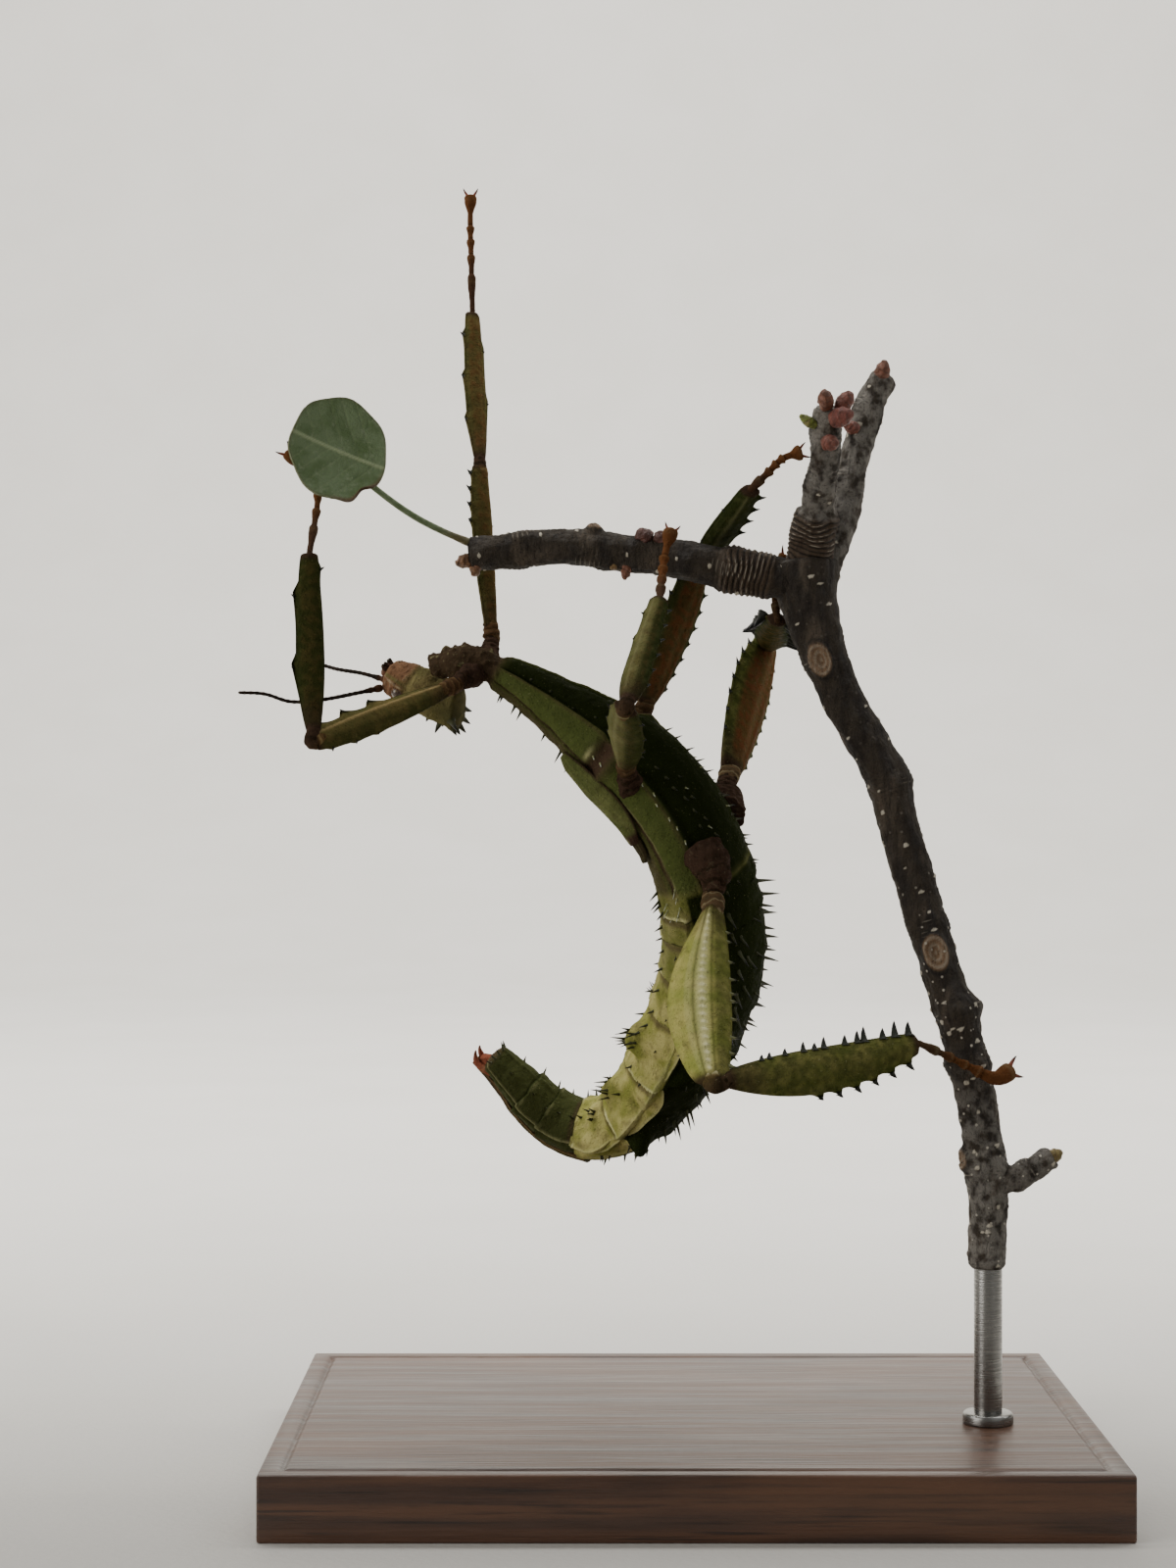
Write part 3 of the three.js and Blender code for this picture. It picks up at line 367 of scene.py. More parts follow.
def bell(x, middle, half):
    """1 at the middle, falling off smoothly within about half on either side."""
    return np.exp(-((x - middle) / half) ** 2)


def step_up(x, low, high):
    """0 below low, 1 above high, smooth between."""
    share = np.clip((x - low) / (high - low), 0, 1)
    return share * share * (3 - 2 * share)


def dome(x):
    """A quarter circle: 0 at 0, 1 from 1 on."""
    return np.sqrt(np.clip(1 - (1 - np.clip(x, 0, 1)) ** 2, 0, 1))


def both_ends(t, reach):
    """Rounds off both ends of a piece within this share of its length."""
    return dome(t / reach) * dome((1 - t) / reach)


# no route runs along this direction, so that a side can be told from it
ROUTE_GUIDE = (0.13, 0.99, 0.07)


def blank_marks(like, *names):
    """Marks that are 0 all over, and the function that lays a tint over one of them."""
    marks = {name: np.zeros_like(like) for name in names}

    def tint(name, value):
        marks[name] = np.maximum(marks[name], value)

    return marks, tint


class Route:
    """A smooth line through points, walked by its share of the length."""

    SAMPLES = 24

    def __init__(self, points):
        points = [np.array(point, float) for point in points]
        ends = [2 * points[0] - points[1], *points, 2 * points[-1] - points[-2]]
        line = []
        for a, b, c, d in zip(ends, ends[1:], ends[2:], ends[3:]):
            for k in range(self.SAMPLES):
                u = k / self.SAMPLES
                line.append(0.5 * (2 * b + (c - a) * u + (2 * a - 5 * b + 4 * c - d) * u ** 2
                                   + (3 * b - a - 3 * c + d) * u ** 3))
        line.append(points[-1])
        self.line = np.array(line)
        gaps = np.linalg.norm(np.diff(self.line, axis=0), axis=1)
        self.length = gaps.sum()
        self.share = np.concatenate([[0], np.cumsum(gaps)]) / self.length
        along = np.gradient(self.line, axis=0)
        along /= np.linalg.norm(along, axis=1)[:, None]
        side = np.cross(ROUTE_GUIDE, along)
        self.side = side / np.linalg.norm(side, axis=1)[:, None]
        self.up = np.cross(along, self.side)

    def read(self, table, t):
        """What a table along the line says at t."""
        return np.stack([np.interp(t, self.share, table[:, k]) for k in range(3)], axis=-1)

    def at(self, t):
        """Places on the line."""
        return self.read(self.line, t)

    def wall(self, t, turn, radius):
        """Places round the line, at this turn and radius."""
        side = self.read(self.side, t) * np.cos(turn)[:, None]
        up = self.read(self.up, t) * np.sin(turn)[:, None]
        return self.at(t) + np.asarray(radius)[:, None] * (side + up)

    def clothe(self, tube, radius):
        """Lays a straight tube along the line, with radius(t)."""
        return wrap(tube, self.at, lambda t, turn: self.wall(t, turn, radius(t)))


def settle(obj, material, nodes=(), smooth=50):
    """Finishes a piece: metres, shading, material, and its place in the frame."""
    obj.data.transform(Matrix.Scale(MM, 4))
    only(obj)
    bpy.ops.object.shade_smooth_by_angle(angle=math.radians(smooth))
    obj.data.materials.clear()
    obj.data.materials.append(material)
    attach(obj, "root")
    if nodes:
        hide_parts(*nodes)


# ---- materials

class Paint:
    """A procedural material, built up layer by layer."""

    def __init__(self, name, colour, roughness=0.5):
        self.material = bpy.data.materials.new(name)
        self.material.use_nodes = True
        self.tree = self.material.node_tree
        self.shader = self.tree.nodes["Principled BSDF"]
        self.colour = rgb(colour)
        self.same(Roughness=roughness, Base_Color=self.colour)
        self.coordinates = self.add("TexCoord", "Object")

    def feed(self, socket, value):
        """Links a socket to another one, or gives it a number, vector or colour."""
        if isinstance(value, bpy.types.NodeSocket):
            self.tree.links.new(value, socket)
        else:
            socket.default_value = value

    def add(self, kind, output, inputs=None, **settings):
        """The output of a new node, whose inputs are fed by their names or numbers."""
        node = self.tree.nodes.new("ShaderNode" + kind)
        for key, value in settings.items():
            setattr(node, key, value)
        for key, value in (inputs or {}).items():
            self.feed(node.inputs[key], value)
        return node.outputs[output]

    def same(self, **values):
        """Feeds the shader's own sockets, by their names with _ for each space."""
        for name, value in values.items():
            self.feed(self.shader.inputs[name.replace("_", " ")], value)

    def ramp(self, value, low, high):
        """0 where the value is at low, 1 where it is at high."""
        return self.add("MapRange", "Result", {"Value": value, "From Min": low, "From Max": high},
                        interpolation_type="SMOOTHSTEP")

    def stretched(self, scale):
        """Coordinates that draw a pattern out where the scale is below 1."""
        return self.add("Mapping", "Vector", {"Vector": self.coordinates, "Scale": scale})

    def clouds(self, size, low=0.3, high=0.7, detail=4, stretch=None):
        """Noise with lumps of a size in millimetres, ramped from 0 to 1."""
        vector = self.stretched(stretch) if stretch else self.coordinates
        noisy = self.add("TexNoise", "Fac",
                         {"Vector": vector, "Scale": 1 / (size * MM), "Detail": detail})
        return self.ramp(noisy, low, high)

    def grains(self, size, low, high):
        """Round grains of a size in millimetres: 1 in the middle of each."""
        gap = self.add("TexVoronoi", "Distance", {"Vector": self.coordinates, "Scale": 1 / (size * MM)})
        return self.ramp(gap, high, low)

    def layer_of(self, name, low=0, high=1):
        """The number that the mesh is marked with, ramped from 0 to 1."""
        return self.ramp(self.add("Attribute", "Fac", attribute_name=name), low, high)

    def times(self, first, second):
        """The product of two masks, or of a mask and a number."""
        return self.add("Math", "Value", {0: first, 1: second}, operation="MULTIPLY")

    def over(self, colour, mask, amount=1):
        """Lays a colour over the rest, where the mask is 1 or the mesh has its mark."""
        if isinstance(mask, str):
            mask = self.layer_of(mask)
        fade = self.times(mask, amount) if amount != 1 else mask
        # the mix node's colour sockets have the numbers 6 and 7, and 2 among its outputs
        self.colour = self.add("Mix", 2, {0: fade, 6: self.colour, 7: rgb(colour)}, data_type="RGBA")
        self.same(Base_Color=self.colour)

    def shine(self, mask, dull, glossy):
        """Roughness from dull where the mask is 0 to glossy where it is 1."""
        ends = {"Value": mask, "To Min": dull, "To Max": glossy}
        self.same(Roughness=self.add("MapRange", "Result", ends))

    def relief(self, *heights):
        """Bumps, each (mask, height in millimetres), one on another."""
        below = {}
        for mask, height in heights:
            heap = {"Height": mask, "Distance": height * MM, **below}
            below = {"Normal": self.add("Bump", "Normal", heap)}
        self.same(**below)


def rgb(colour):
    """A linear colour with its alpha, from '#rrggbb' or from a colour that is linear already."""
    if not isinstance(colour, str):
        return (*colour, 1)
    parts = [int(colour[k:k + 2], 16) / 255 for k in (1, 3, 5)]
    return (*[c / 12.92 if c <= 0.04045 else ((c + 0.055) / 1.055) ** 2.4 for c in parts], 1)


# colours of the marks on the insect's skin, in the order in which they are laid on; on the body the dark and
# deep marks also hold painted shade
TINTS = {"deep": "#2b3318", "green": "#525c30", "warm": "#3f2f26", "red": "#633f26", "dark": "#0b1004",
         "pale": "#c4c08c"}


def cuticle(name, look, base, mottle, **tints):
    """Waxy insect skin: a mottled base, and tints wherever the mesh is marked for them."""
    tints = TINTS | tints
    paint = Paint(name, base)
    paint.over(mottle, paint.clouds(3.2, 0.34, 0.68))
    paint.over(tints["warm"], paint.clouds(1.8, 0.5, 0.75), 0.4 * look.speckle)
    for layer in TINTS:
        paint.over(tints[layer], layer)
    paint.over(tints["dark"], paint.clouds(0.5, 0.6, 0.74), 0.4 * look.speckle)
    paint.over(tints["dark"], paint.grains(0.6, 0.05, 0.15), 0.5 * look.speckle)
    paint.over(tints["pale"], paint.clouds(0.3, 0.66, 0.74), 0.22 * look.speckle)
    paint.shine(paint.clouds(0.8, 0.35, 0.65), look.gloss + 0.05, look.gloss - 0.13)
    paint.relief((paint.clouds(1.4), 0.12), (paint.grains(0.42, 0.1, 0.5), 0.07),
                 (paint.clouds(0.16), 0.03))
    paint.same(Specular_IOR_Level=0.005, Subsurface_Weight=0.05,
               Subsurface_Radius=(1.2 * MM, 1.2 * MM, 0.6 * MM))
    return paint.material


# ---- body

def alike(*values):
    """The same values as arrays of one shape."""
    return np.broadcast_arrays(*(np.asarray(value, float) for value in values))


def unit(ways):
    """Directions of length 1."""
    return ways / np.linalg.norm(ways, axis=-1, keepdims=True)


def in_world(x, left, z):
    """World places from places in the insect's own frame."""
    local = np.stack([x, left, z, np.ones_like(left)], axis=-1)
    return (local @ np.array(INSECT).T)[..., :3]


class Body:
    """The insect's midline and cross-sections, read at any distance from the neck."""

    STEP = 0.1
    SMOOTHING = 1.6

    def __init__(self):
        lengths = [segment[1] for segment in SEGMENTS]
        self.ends = np.concatenate([[0], np.cumsum(lengths)])
        self.length = self.ends[-1]
        self.s = np.arange(0, self.length + self.STEP, self.STEP)
        turns = np.concatenate([[0], np.cumsum([segment[2] for segment in SEGMENTS])])
        self.angle = np.radians(NECK[2] + np.interp(self.s, self.ends, turns))
        self.x = NECK[0] + np.concatenate([[0], np.cumsum(np.cos(self.angle[:-1])) * self.STEP])
        self.z = NECK[1] + np.concatenate([[0], np.cumsum(np.sin(self.angle[:-1])) * self.STEP])
        self.half_width = self.smooth(self.sizes(3)) / 2
        self.half_depth = self.smooth(self.sizes(4)) / 2
        self.lobe = self.lobes()

    def segment_at(self, s):
        """The segment at a distance, and how far along it that is, from 0 to 1."""
        index = int(np.clip(np.searchsorted(self.ends, s, side="right") - 1, 0, len(SEGMENTS) - 1))
        return SEGMENTS[index], (s - self.ends[index]) / SEGMENTS[index][1]

    def sizes(self, column):
        """Widths (column 3) or depths (column 4) all along, segment by segment."""
        out = []
        for s in self.s:
            segment, t = self.segment_at(s)
            share = min(max(t, 0), 1) ** (MESO_SWELL if segment[0] == "mesothorax" else TAPER)
            out.append(segment[column][0] * (1 - share) + segment[column][1] * share)
        return np.array(out)

    def smooth(self, values):
        """Evens out the corners where segments meet."""
        count = int(self.SMOOTHING / self.STEP)
        window = np.hanning(2 * count + 1)
        padded = np.pad(values, count, mode="edge")
        return np.convolve(padded, window / window.sum(), mode="valid")

    def lobes(self):
        """How far the flanks of the wide segments bulge, all along."""
        out = []
        for s in self.s:
            segment, t = self.segment_at(s)
            out.append(SIDE_LOBES.get(segment[0], 0) * math.sin(math.pi * min(1, max(0, t * 1.05))))
        return np.maximum(np.array(out), 0)

    def read(self, table, s):
        """What a table along the body says at a distance."""
        return np.interp(s, self.s, table)

    def point(self, s, left, up):
        """World places from distances along, out to the left and out to the belly."""
        s, left, up = alike(s, left, up)
        angle = self.read(self.angle, s)
        return in_world(self.read(self.x, s) - up * np.sin(angle), left,
                        self.read(self.z, s) + up * np.cos(angle))

    def surface(self, s, angle, lift=0):
        """World places on the skin; the angle is 0 on the left flank and 90 on the belly."""
        s, angle = np.asarray(s, float), np.radians(angle)
        cos, sin = np.cos(angle), np.sin(angle)
        lobe = self.read(self.lobe, s) * np.abs(cos) ** 9 * np.sign(cos)
        left = (self.read(self.half_width, s) + lift) * cos + lobe
        up = (self.read(self.half_depth, s) + lift) * sin
        return self.point(s, left, up)

    def outward(self, s, angle):
        """The direction out of the skin."""
        return unit(self.surface(s, angle) - self.point(s, 0, 0))

    def tailward(self, s):
        """The direction of the midline towards the tail."""
        ahead, behind = np.asarray(s) + 4 * self.STEP, np.asarray(s) - 4 * self.STEP
        return unit(self.point(ahead, 0, 0) - self.point(behind, 0, 0))


BODY = Body()
END_OF = {segment[0]: BODY.ends[k + 1] for k, segment in enumerate(SEGMENTS)}
START_OF = {segment[0]: BODY.ends[k] for k, segment in enumerate(SEGMENTS)}


def off_back(angle):
    """Degrees from the middle of the back, the same on both sides."""
    return np.abs((np.degrees(angle) + 90 + 180) % 360 - 180)


# rear edges of the plates: distance from the neck at the flank, and how much further it is over the back
PLATES = {
    "metathorax": (56.9, 0.5), "abdomen_2": (61.2, 0.7), "abdomen_3": (68, 1.2), "abdomen_4": (75.6, 2),
    "abdomen_5": (86.2, 4.4), "abdomen_6": (98.8, 1.4), "abdomen_7": (109.8, 0.4),
    "abdomen_8": (116.2, 0.5), "abdomen_9": (120.8, 0.5),
}
# spiny mounds beside the middle of the back: distance of the top, height, front slope
MOUNDS = ((84.4, 2.6, 4), (97, 1.9, 3.8), (105, 1, 2))
# spiny lobe low on each flank: distance, degrees off the back
LOBE = (98, 117)


def body_relief(s, back, wobble=0):
    """How far the skin stands out of the plain section, and its marks; wobble makes seams uneven."""
    lift = np.zeros_like(s)
    marks, tint = blank_marks(s, "pale", "dark", "warm", "deep", "green")
    flank = bell(back, 92, 7)
    meso, meta = START_OF["mesothorax"], START_OF["metathorax"]
    waist = END_OF["metathorax"]
    on_back = 1 - step_up(back, 92, 97)

    # plates: each rear edge stands over the next one
    for name, (edge, lean) in PLATES.items():
        strong = 1 if name in ("abdomen_5", "abdomen_6", "abdomen_7") else 0.65
        gap = s - (edge + lean * np.cos(np.radians(back)) + 0.3 * flank + 0.35 * wobble)
        lift += strong * np.where(gap < 0, 0.5 * np.exp(gap / 1.7), -0.4 * np.exp(-gap / 1.2))
        faint = 1 - 0.65 * (edge > 112)
        tint("pale", 0.75 * faint * step_up(wobble, -0.25, 0.35) * bell(gap, -0.3, 0.3) * on_back)
        tint("dark", 0.75 * bell(gap, 0.15, 0.2))
        tint("warm", 0.6 * faint ** 1.5 * bell(gap, 0.8, 0.8) * on_back)

    # mounds either side of the middle of the back, and a spined lobe on the flank
    for top, height, slope in MOUNDS:
        along = np.where(s < top, np.exp(-((s - top) / slope) ** 4), np.exp(-((s - top) / 1.2) ** 2))
        lift += height * along * bell(back, 37, 14)
        tint("deep", 0.3 * along * bell(back, 37, 9))
    lobe = bell(s, LOBE[0], 1.5) * bell(back, LOBE[1], 10)
    lift += 3.4 * lobe
    tint("warm", 0.9 * lobe)

    on_abdomen = step_up(s, waist - 4, waist + 2)
    rim = bell(back, 91, 4) * on_abdomen
    lift += 0.5 * rim - 0.45 * bell(back, 101, 5) * on_abdomen + 0.2 * bell(back, 0, 5) * on_abdomen
    tint("pale", 0.4 * rim * step_up(s, 74, 84))
    # the belly of the abdomen: its own near-black green, made darker still as painted shade where it faces
    # away from the light
    turned = step_up(s, 98.5, 100.5)
    tint("dark", step_up(back, 95 + 40 * turned, 99 + 45 * turned) * step_up(s, waist - 4, waist - 2.5))
    # painted shade: the front of the abdomen, fading out by about 82 mm from the neck, darkened where the
    # hind femur shades it
    tint("deep", 0.5 * (1 - step_up(s, 64, 82)))
    tint("deep", step_up(s, END_OF["abdomen_7"] - 0.1, END_OF["abdomen_7"] + 0.3))
    tint("warm", 0.5 * bell(s, END_OF["abdomen_7"] - 2, 2) * bell(back, 84, 10))
    tint("warm", 0.25 * step_up(s, END_OF["abdomen_7"] - 0.1, END_OF["abdomen_7"] + 0.3))
    tint("warm", 0.7 * bell(s, BODY.length, 1.2))

    # thorax: suture along the notum, pleuron between it and the ridge, then the sternum
    thorax = 1 - step_up(s, waist - 5, waist - 1)
    suture = np.interp(s, (meso, meso + 10, meta, meta + 14, waist), (96, 82, 76, 78, 84)) + 1.5 * wobble
    ridge = np.interp(s, (meso, meta - 3, meta + 3, waist), (139, 137, 122, 117))
    past_neck = step_up(s, meso - 1, meso + 3)
    here = thorax * past_neck
    lift += (0.45 * bell(back, ridge, 4) - 0.4 * bell(back, suture, 3)
             - 0.4 * bell(back, ridge + 8, 4.5) + 0.2 * bell(back, (suture + ridge) / 2, 14)) * here
    tint("deep", 0.8 * thorax)
    tint("green", 0.6 * step_up(back, suture + 2, suture + 8) * (1 - step_up(back, ridge - 8, ridge)) * here)
    # the sternum: its own near-black green, made darker still as painted shade where it faces away from the
    # light
    tint("dark", step_up(back, ridge + 1, ridge + 4) * here)
    tint("warm", 0.95 * bell(back, suture, 2.4) * here)
    tint("warm", 0.5 * (1 - step_up(back, suture - 10, suture - 1)) * here)
    on_meta = step_up(s, meta + 1, meta + 4)
    tint("pale", 0.3 * bell(back, suture + 6, 1.2) * here * on_meta)
    tint("warm", 0.6 * bell(back, suture + 3, 4) * here * on_meta)
    tint("warm", 0.5 * bell(back, ridge - 1, 2.2) * here)
    # rounded rear end of the pleuron, and the brown knobbly band behind it
    band = bell(s, meta - 1, 2) * step_up(back, 60, 75) * (1 - step_up(back, 128, 140))
    tint("warm", 0.95 * band)
    lift -= 0.6 * bell(s, meta - 1.6, 1) * step_up(back, 40, 60) * (1 - step_up(back, 150, 165))
    lift += 0.4 * bell(s, meta + 0.4, 0.9) * (1 - step_up(back, 140, 160))
    tint("pale", 0.5 * bell(s, meta - 3, 0.5) * bell(back, 100, 16))

    # prothorax and neck: dark brown and knobbly
    tint("warm", 0.95 * (1 - step_up(s, meso - 0.5, meso + 2.5)))
    tint("dark", 0.3 * (1 - past_neck))
    lift += 0.35 * bell(s, 5.4, 1.3) - 0.4 * bell(s, meso - 0.2, 0.8) - 0.25 * bell(s, 2.4, 0.8)
    return lift, marks


# free edges of the abdomen's plates: how far each hangs over the belly at its front and rear
FLAPS = (("abdomen_4", 0.5, 0.4), ("abdomen_5", 1.6, 0.8),
         ("abdomen_6", 3, 1), ("abdomen_7", 1.2, 0.5))


def side_flaps():
    """Thin flaps along both flanks of the rear abdomen."""
    pieces = []
    for before, (name, front, rear) in zip(("abdomen_3", "abdomen_4", "abdomen_5", "abdomen_6"), FLAPS):
        start, length = PLATES[before][0] - 0.3, PLATES[name][0] - PLATES[before][0] + 0.9
        for side in (1, -1):
            flap, w, t = sheet("flap", 16, 36)
            w = (w + 1) / 2
            s = start + length * t
            uneven = rough(np.stack([6 * t, 0 * t + side, 0 * t], axis=1), 1, start)
            outline = np.sin(math.pi * (0.03 + 0.94 * t)) ** 0.4
            reach = (front + (rear - front) * t) * outline * (1 + 0.3 * uneven)
            up = -1 + (reach + 1) * w
            bulge = np.sqrt(np.clip(1 - (up / BODY.read(BODY.half_depth, s)) ** 2, 0.05, 1))
            left = (BODY.read(BODY.half_width, s) * (0.4 + 0.6 * bulge)
                    + BODY.read(BODY.lobe, s) * (0.9 - 0.35 * w) - 0.5 + w ** 0.7)
            put(flap, BODY.point(s, side * left, up))
            thicken(flap, 0.28)
            mark(flap, pale=0.55 * step_up(w, 0.72, 1), dark=0.5 * bell(t, 1, 0.03),
                 warm=0.45 * bell(w, 0.55, 0.2) * step_up(t, 0.3, 0.9))
            pieces.append(flap)
    return pieces


# how narrow the ends of a rounded piece get, as a share of its width
PINCH = 0.02


def body_skin():
    """Thorax and abdomen as one skin, with the side flaps."""
    tube = straight_tube("body_skin", 24, 130, cuts=4)
    round_front, round_tail = 1.2, 1

    def axis(t):
        return BODY.point(t * BODY.length, 0, 0)

    wobble = rough_round(tube, 30, 2, 5)
    kept = {}

    def wall(t, turn):
        s = t * BODY.length
        lift, kept["marks"] = body_relief(s, off_back(turn), wobble)
        shell = BODY.surface(s, np.degrees(turn), lift)
        middle = axis(t)
        closing = np.maximum(dome(s / round_front) * dome((BODY.length - s) / round_tail), PINCH)
        return middle + (shell - middle) * closing[:, None]

    t, turn = wrap(tube, axis, wall)
    s = t * BODY.length
    points = places(tube)
    fine = rough(points, 0.7, 3)
    lumps = 0.2 * rough(points, 2.2) + 0.08 * fine
    knobs = np.clip(rough(points, 1, 7) - 0.2, 0, 1) * (1 - step_up(s, 8, 14)) * 1.3
    push_out(tube, axis(t), lumps + knobs)
    marks = kept["marks"]
    marks["pale"] = np.maximum(marks["pale"], 0.3 * step_up(fine, 0.3, 0.5) * (1 - step_up(s, 8, 12)))
    mark(tube, **marks)
    return join([tube, *side_flaps()], "body_skin")


# ---- thorns, horns and claws

# how a thorn is extruded, as (rise, how much narrower each ring is than the last)
THORN_RINGS = ((0.1, 0.66), (0.2, 0.8), (0.3, 0.68), (0.25, 0.5), (0.15, 0.12))


def thorn_model(name, sides, hook):
    """One thorn, 1 long with a foot of radius 1, extruded from its foot and bent by hook degrees."""
    thorn = fresh(bpy.ops.mesh.primitive_circle_add, name, vertices=sides, radius=1, fill_type="NGON")
    edit_all()
    for rise, scale in THORN_RINGS:
        extrude(rise)
        mesh = bmesh.from_edit_mesh(thorn.data)
        ring = [v for v in mesh.verts if v.select]
        centre = sum((v.co for v in ring), Vector()) / len(ring)
        bpy.ops.transform.resize(value=(scale, scale, 1), center_override=centre)
    face_out()
    points = places(thorn)
    height = points[:, 2]
    mark(thorn, tip=height)
    lean = math.radians(hook) * height ** 1.6
    points[:, 0] += np.sin(lean) * height * 0.55
    points[:, 2] = height * np.cos(lean * 0.6)
    put(thorn, points)
    return thorn


def grow(name, model, feet):
    """Copies the model to each (foot, towards, length, radius, toward side) and joins them."""
    copies = []
    for foot, towards, length, radius, side in feet:
        copy = model.copy()
        copy.data = model.data.copy()
        bpy.context.collection.objects.link(copy)
        z_axis = Vector(towards).normalized()
        x_axis = (Vector(side) - Vector(side).dot(z_axis) * z_axis)
        x_axis = x_axis.normalized() if x_axis.length > 1e-4 else z_axis.orthogonal().normalized()
        y_axis = z_axis.cross(x_axis)
        turn = Matrix((x_axis, y_axis, z_axis)).transposed()
        scale = Matrix.Diagonal((radius, radius, length))
        sink = Vector(foot) - z_axis * radius * 0.35
        copy.data.transform(Matrix.Translation(sink) @ (turn @ scale).to_4x4())
        copies.append(copy)
    bpy.data.objects.remove(model)
    return join(copies, name)


def scaled(feet, spines):
    """The same feet with the spines' length and girth from the settings."""
    return [(foot, way, length * spines.length, radius * spines.girth, side)
            for foot, way, length, radius, side in feet]


# ---- spines of the body

def body_thorn_places():
    """Feet of the body's dark and of its pale spines, as distance, angle, length, lean and radius."""
    # from, to, count, degrees off the back, length, lean
    rows = (
        # belly of the abdomen, stout and long at its sides
        (57, 97, 15, 141, 3.1, 0.3), (60, 96, 10, 151, 2.6, 0.35), (58, 84, 5, 172, 1.4, 0.3),
        (97, 108, 4, 150, 1.5, 0.4), (85, 97, 3, 170, 1.2, 0.4), (60, 96, 5, 126, 0.8, 0.3),
        # back
        (58, 90, 8, 44, 1.5, 0.15), (61, 84, 4, 16, 1.5, 0.3), (112, 126, 4, 42, 1.3, 0.4),
        (108, 112, 2, 40, 1.6, 0.2),
        # edge of the notum
        (12.6, 13.9, 2, 42, 1.5, 0.1), (14.8, 17, 3, 44, 1.6, 0.1), (21, 22, 1, 46, 1.8, 0.1),
        (24.6, 25.6, 1, 46, 2, 0.1), (26.6, 27.4, 1, 46, 2, 0),
        # belly of the thorax, short, denser to the rear
        (14, 32, 5, 150, 0.6, 0.5), (34, 56, 12, 146, 1.3, 0.4), (38, 56, 6, 158, 1, 0.5),
        # flanks
        (61, 90, 5, 70, 0.7, 0.5), (53, 56, 3, 44, 1.9, 0.3), (56, 57, 1, 52, 1.8, 0.3),
    )
    rng = np.random.default_rng(7)
    dark = []
    for start, end, count, back, length, lean in rows:
        for k in range(count):
            for side in (1, -1):
                s = start + (end - start) * (k + 0.5) / count + rng.uniform(-0.5, 0.5)
                angle = -90 + side * (back + rng.uniform(-4, 4))
                dark.append((s, angle, length * rng.uniform(0.7, 1.2), lean, 0.2 + 0.08 * length))
    # clusters on the mounds and on the flanks' lobes
    clusters = [(top, height + 1.6, 40, 4 + int(2.5 * height), 1.3 + 0.5 * height)
                for top, height, _ in MOUNDS]
    clusters += [(LOBE[0] + 0.6, 1.4, LOBE[1], 6, 1.7), (105.5, 1.5, 118, 3, 1.3)]
    for top, reach, back, count, length in clusters:
        for k in range(count):
            for side in (1, -1):
                s = top + 0.5 - reach * (k + rng.uniform(0, 0.6)) / count
                angle = -90 + side * (back + rng.uniform(-11, 13))
                dark.append((s, angle, length * rng.uniform(0.6, 1.1), rng.uniform(-0.3, 0.4), 0.3))
    # rear rim of the last ring
    for k in range(7):
        dark.append((BODY.length - 0.6, -90 + (k - 3) * 24, 1.1, 1.4, 0.3))
    # pale ones along the ridge of the pleuron, before the hind hips and over the sternum
    rows = ((34, 49, 8, 121, 1), (52, 57, 4, 84, 1.5), (54, 58, 3, 66, 1.4), (38, 50, 2, 158, 0.9),
            (29, 31.5, 2, 104, 0.9))
    pale = []
    for start, end, count, back, length in rows:
        for k in range(count):
            for side in (1, -1):
                s = start + (end - start) * (k + 0.5) / count + rng.uniform(-0.4, 0.4)
                angle = -90 + side * (back + rng.uniform(-3, 3))
                pale.append((s, angle, length * rng.uniform(0.7, 1.2), 0.5, 0.2))
    return dark, pale


def body_thorns(spines, places_of, name):
    """Stands the body's spines on its skin."""
    feet = []
    for s, angle, length, lean, radius in places_of:
        lift = float(body_relief(np.array([s]), np.array([off_back(math.radians(angle))]))[0][0])
        foot = BODY.surface(s, angle, lift)
        tailward = BODY.tailward(s)
        towards = BODY.outward(s, angle) + lean * tailward
        feet.append((foot, towards, length, radius, tailward))
    return grow(name, thorn_model("body_thorn", 6, 14), scaled(feet, spines))


# ---- head

HEAD_WAY = Vector((math.cos(math.radians(HEAD["heading"])), 0, math.sin(math.radians(HEAD["heading"]))))
HEAD_UP = Vector((-HEAD_WAY.z, 0, HEAD_WAY.x))


def head_point(t, left, up):
    """World places in the head: t from the face to the crown, out to the left, up to the throat."""
    t, left, up = alike(t, left, up)
    t = t - 0.026 * up * step_up(t, 0.55, 1)
    return in_world(HEAD["x"] + HEAD_WAY.x * HEAD["length"] * t + HEAD_UP.x * up, left,
                    HEAD["z"] + HEAD_WAY.z * HEAD["length"] * t + HEAD_UP.z * up)


def head_section(t, turn, lift=0):
    """The head's section, as distances out to the left and up to the throat."""
    rings = np.array(HEAD_RINGS)
    fine = np.linspace(0, 1, 101)
    window = np.hanning(13)
    window /= window.sum()

    def size(column):
        raw = np.interp(fine, rings[:, 0], rings[:, column])
        soft = np.convolve(np.pad(raw, 6, mode="edge"), window, mode="valid")
        return np.interp(t, fine, soft)

    up_turn = np.sin(turn)
    depth = np.where(up_turn > 0, size(2), size(3))
    square = 1 + 0.1 * np.sin(2 * turn) ** 2
    return (size(1) + lift) * np.cos(turn) * square, (depth + lift) * up_turn * square


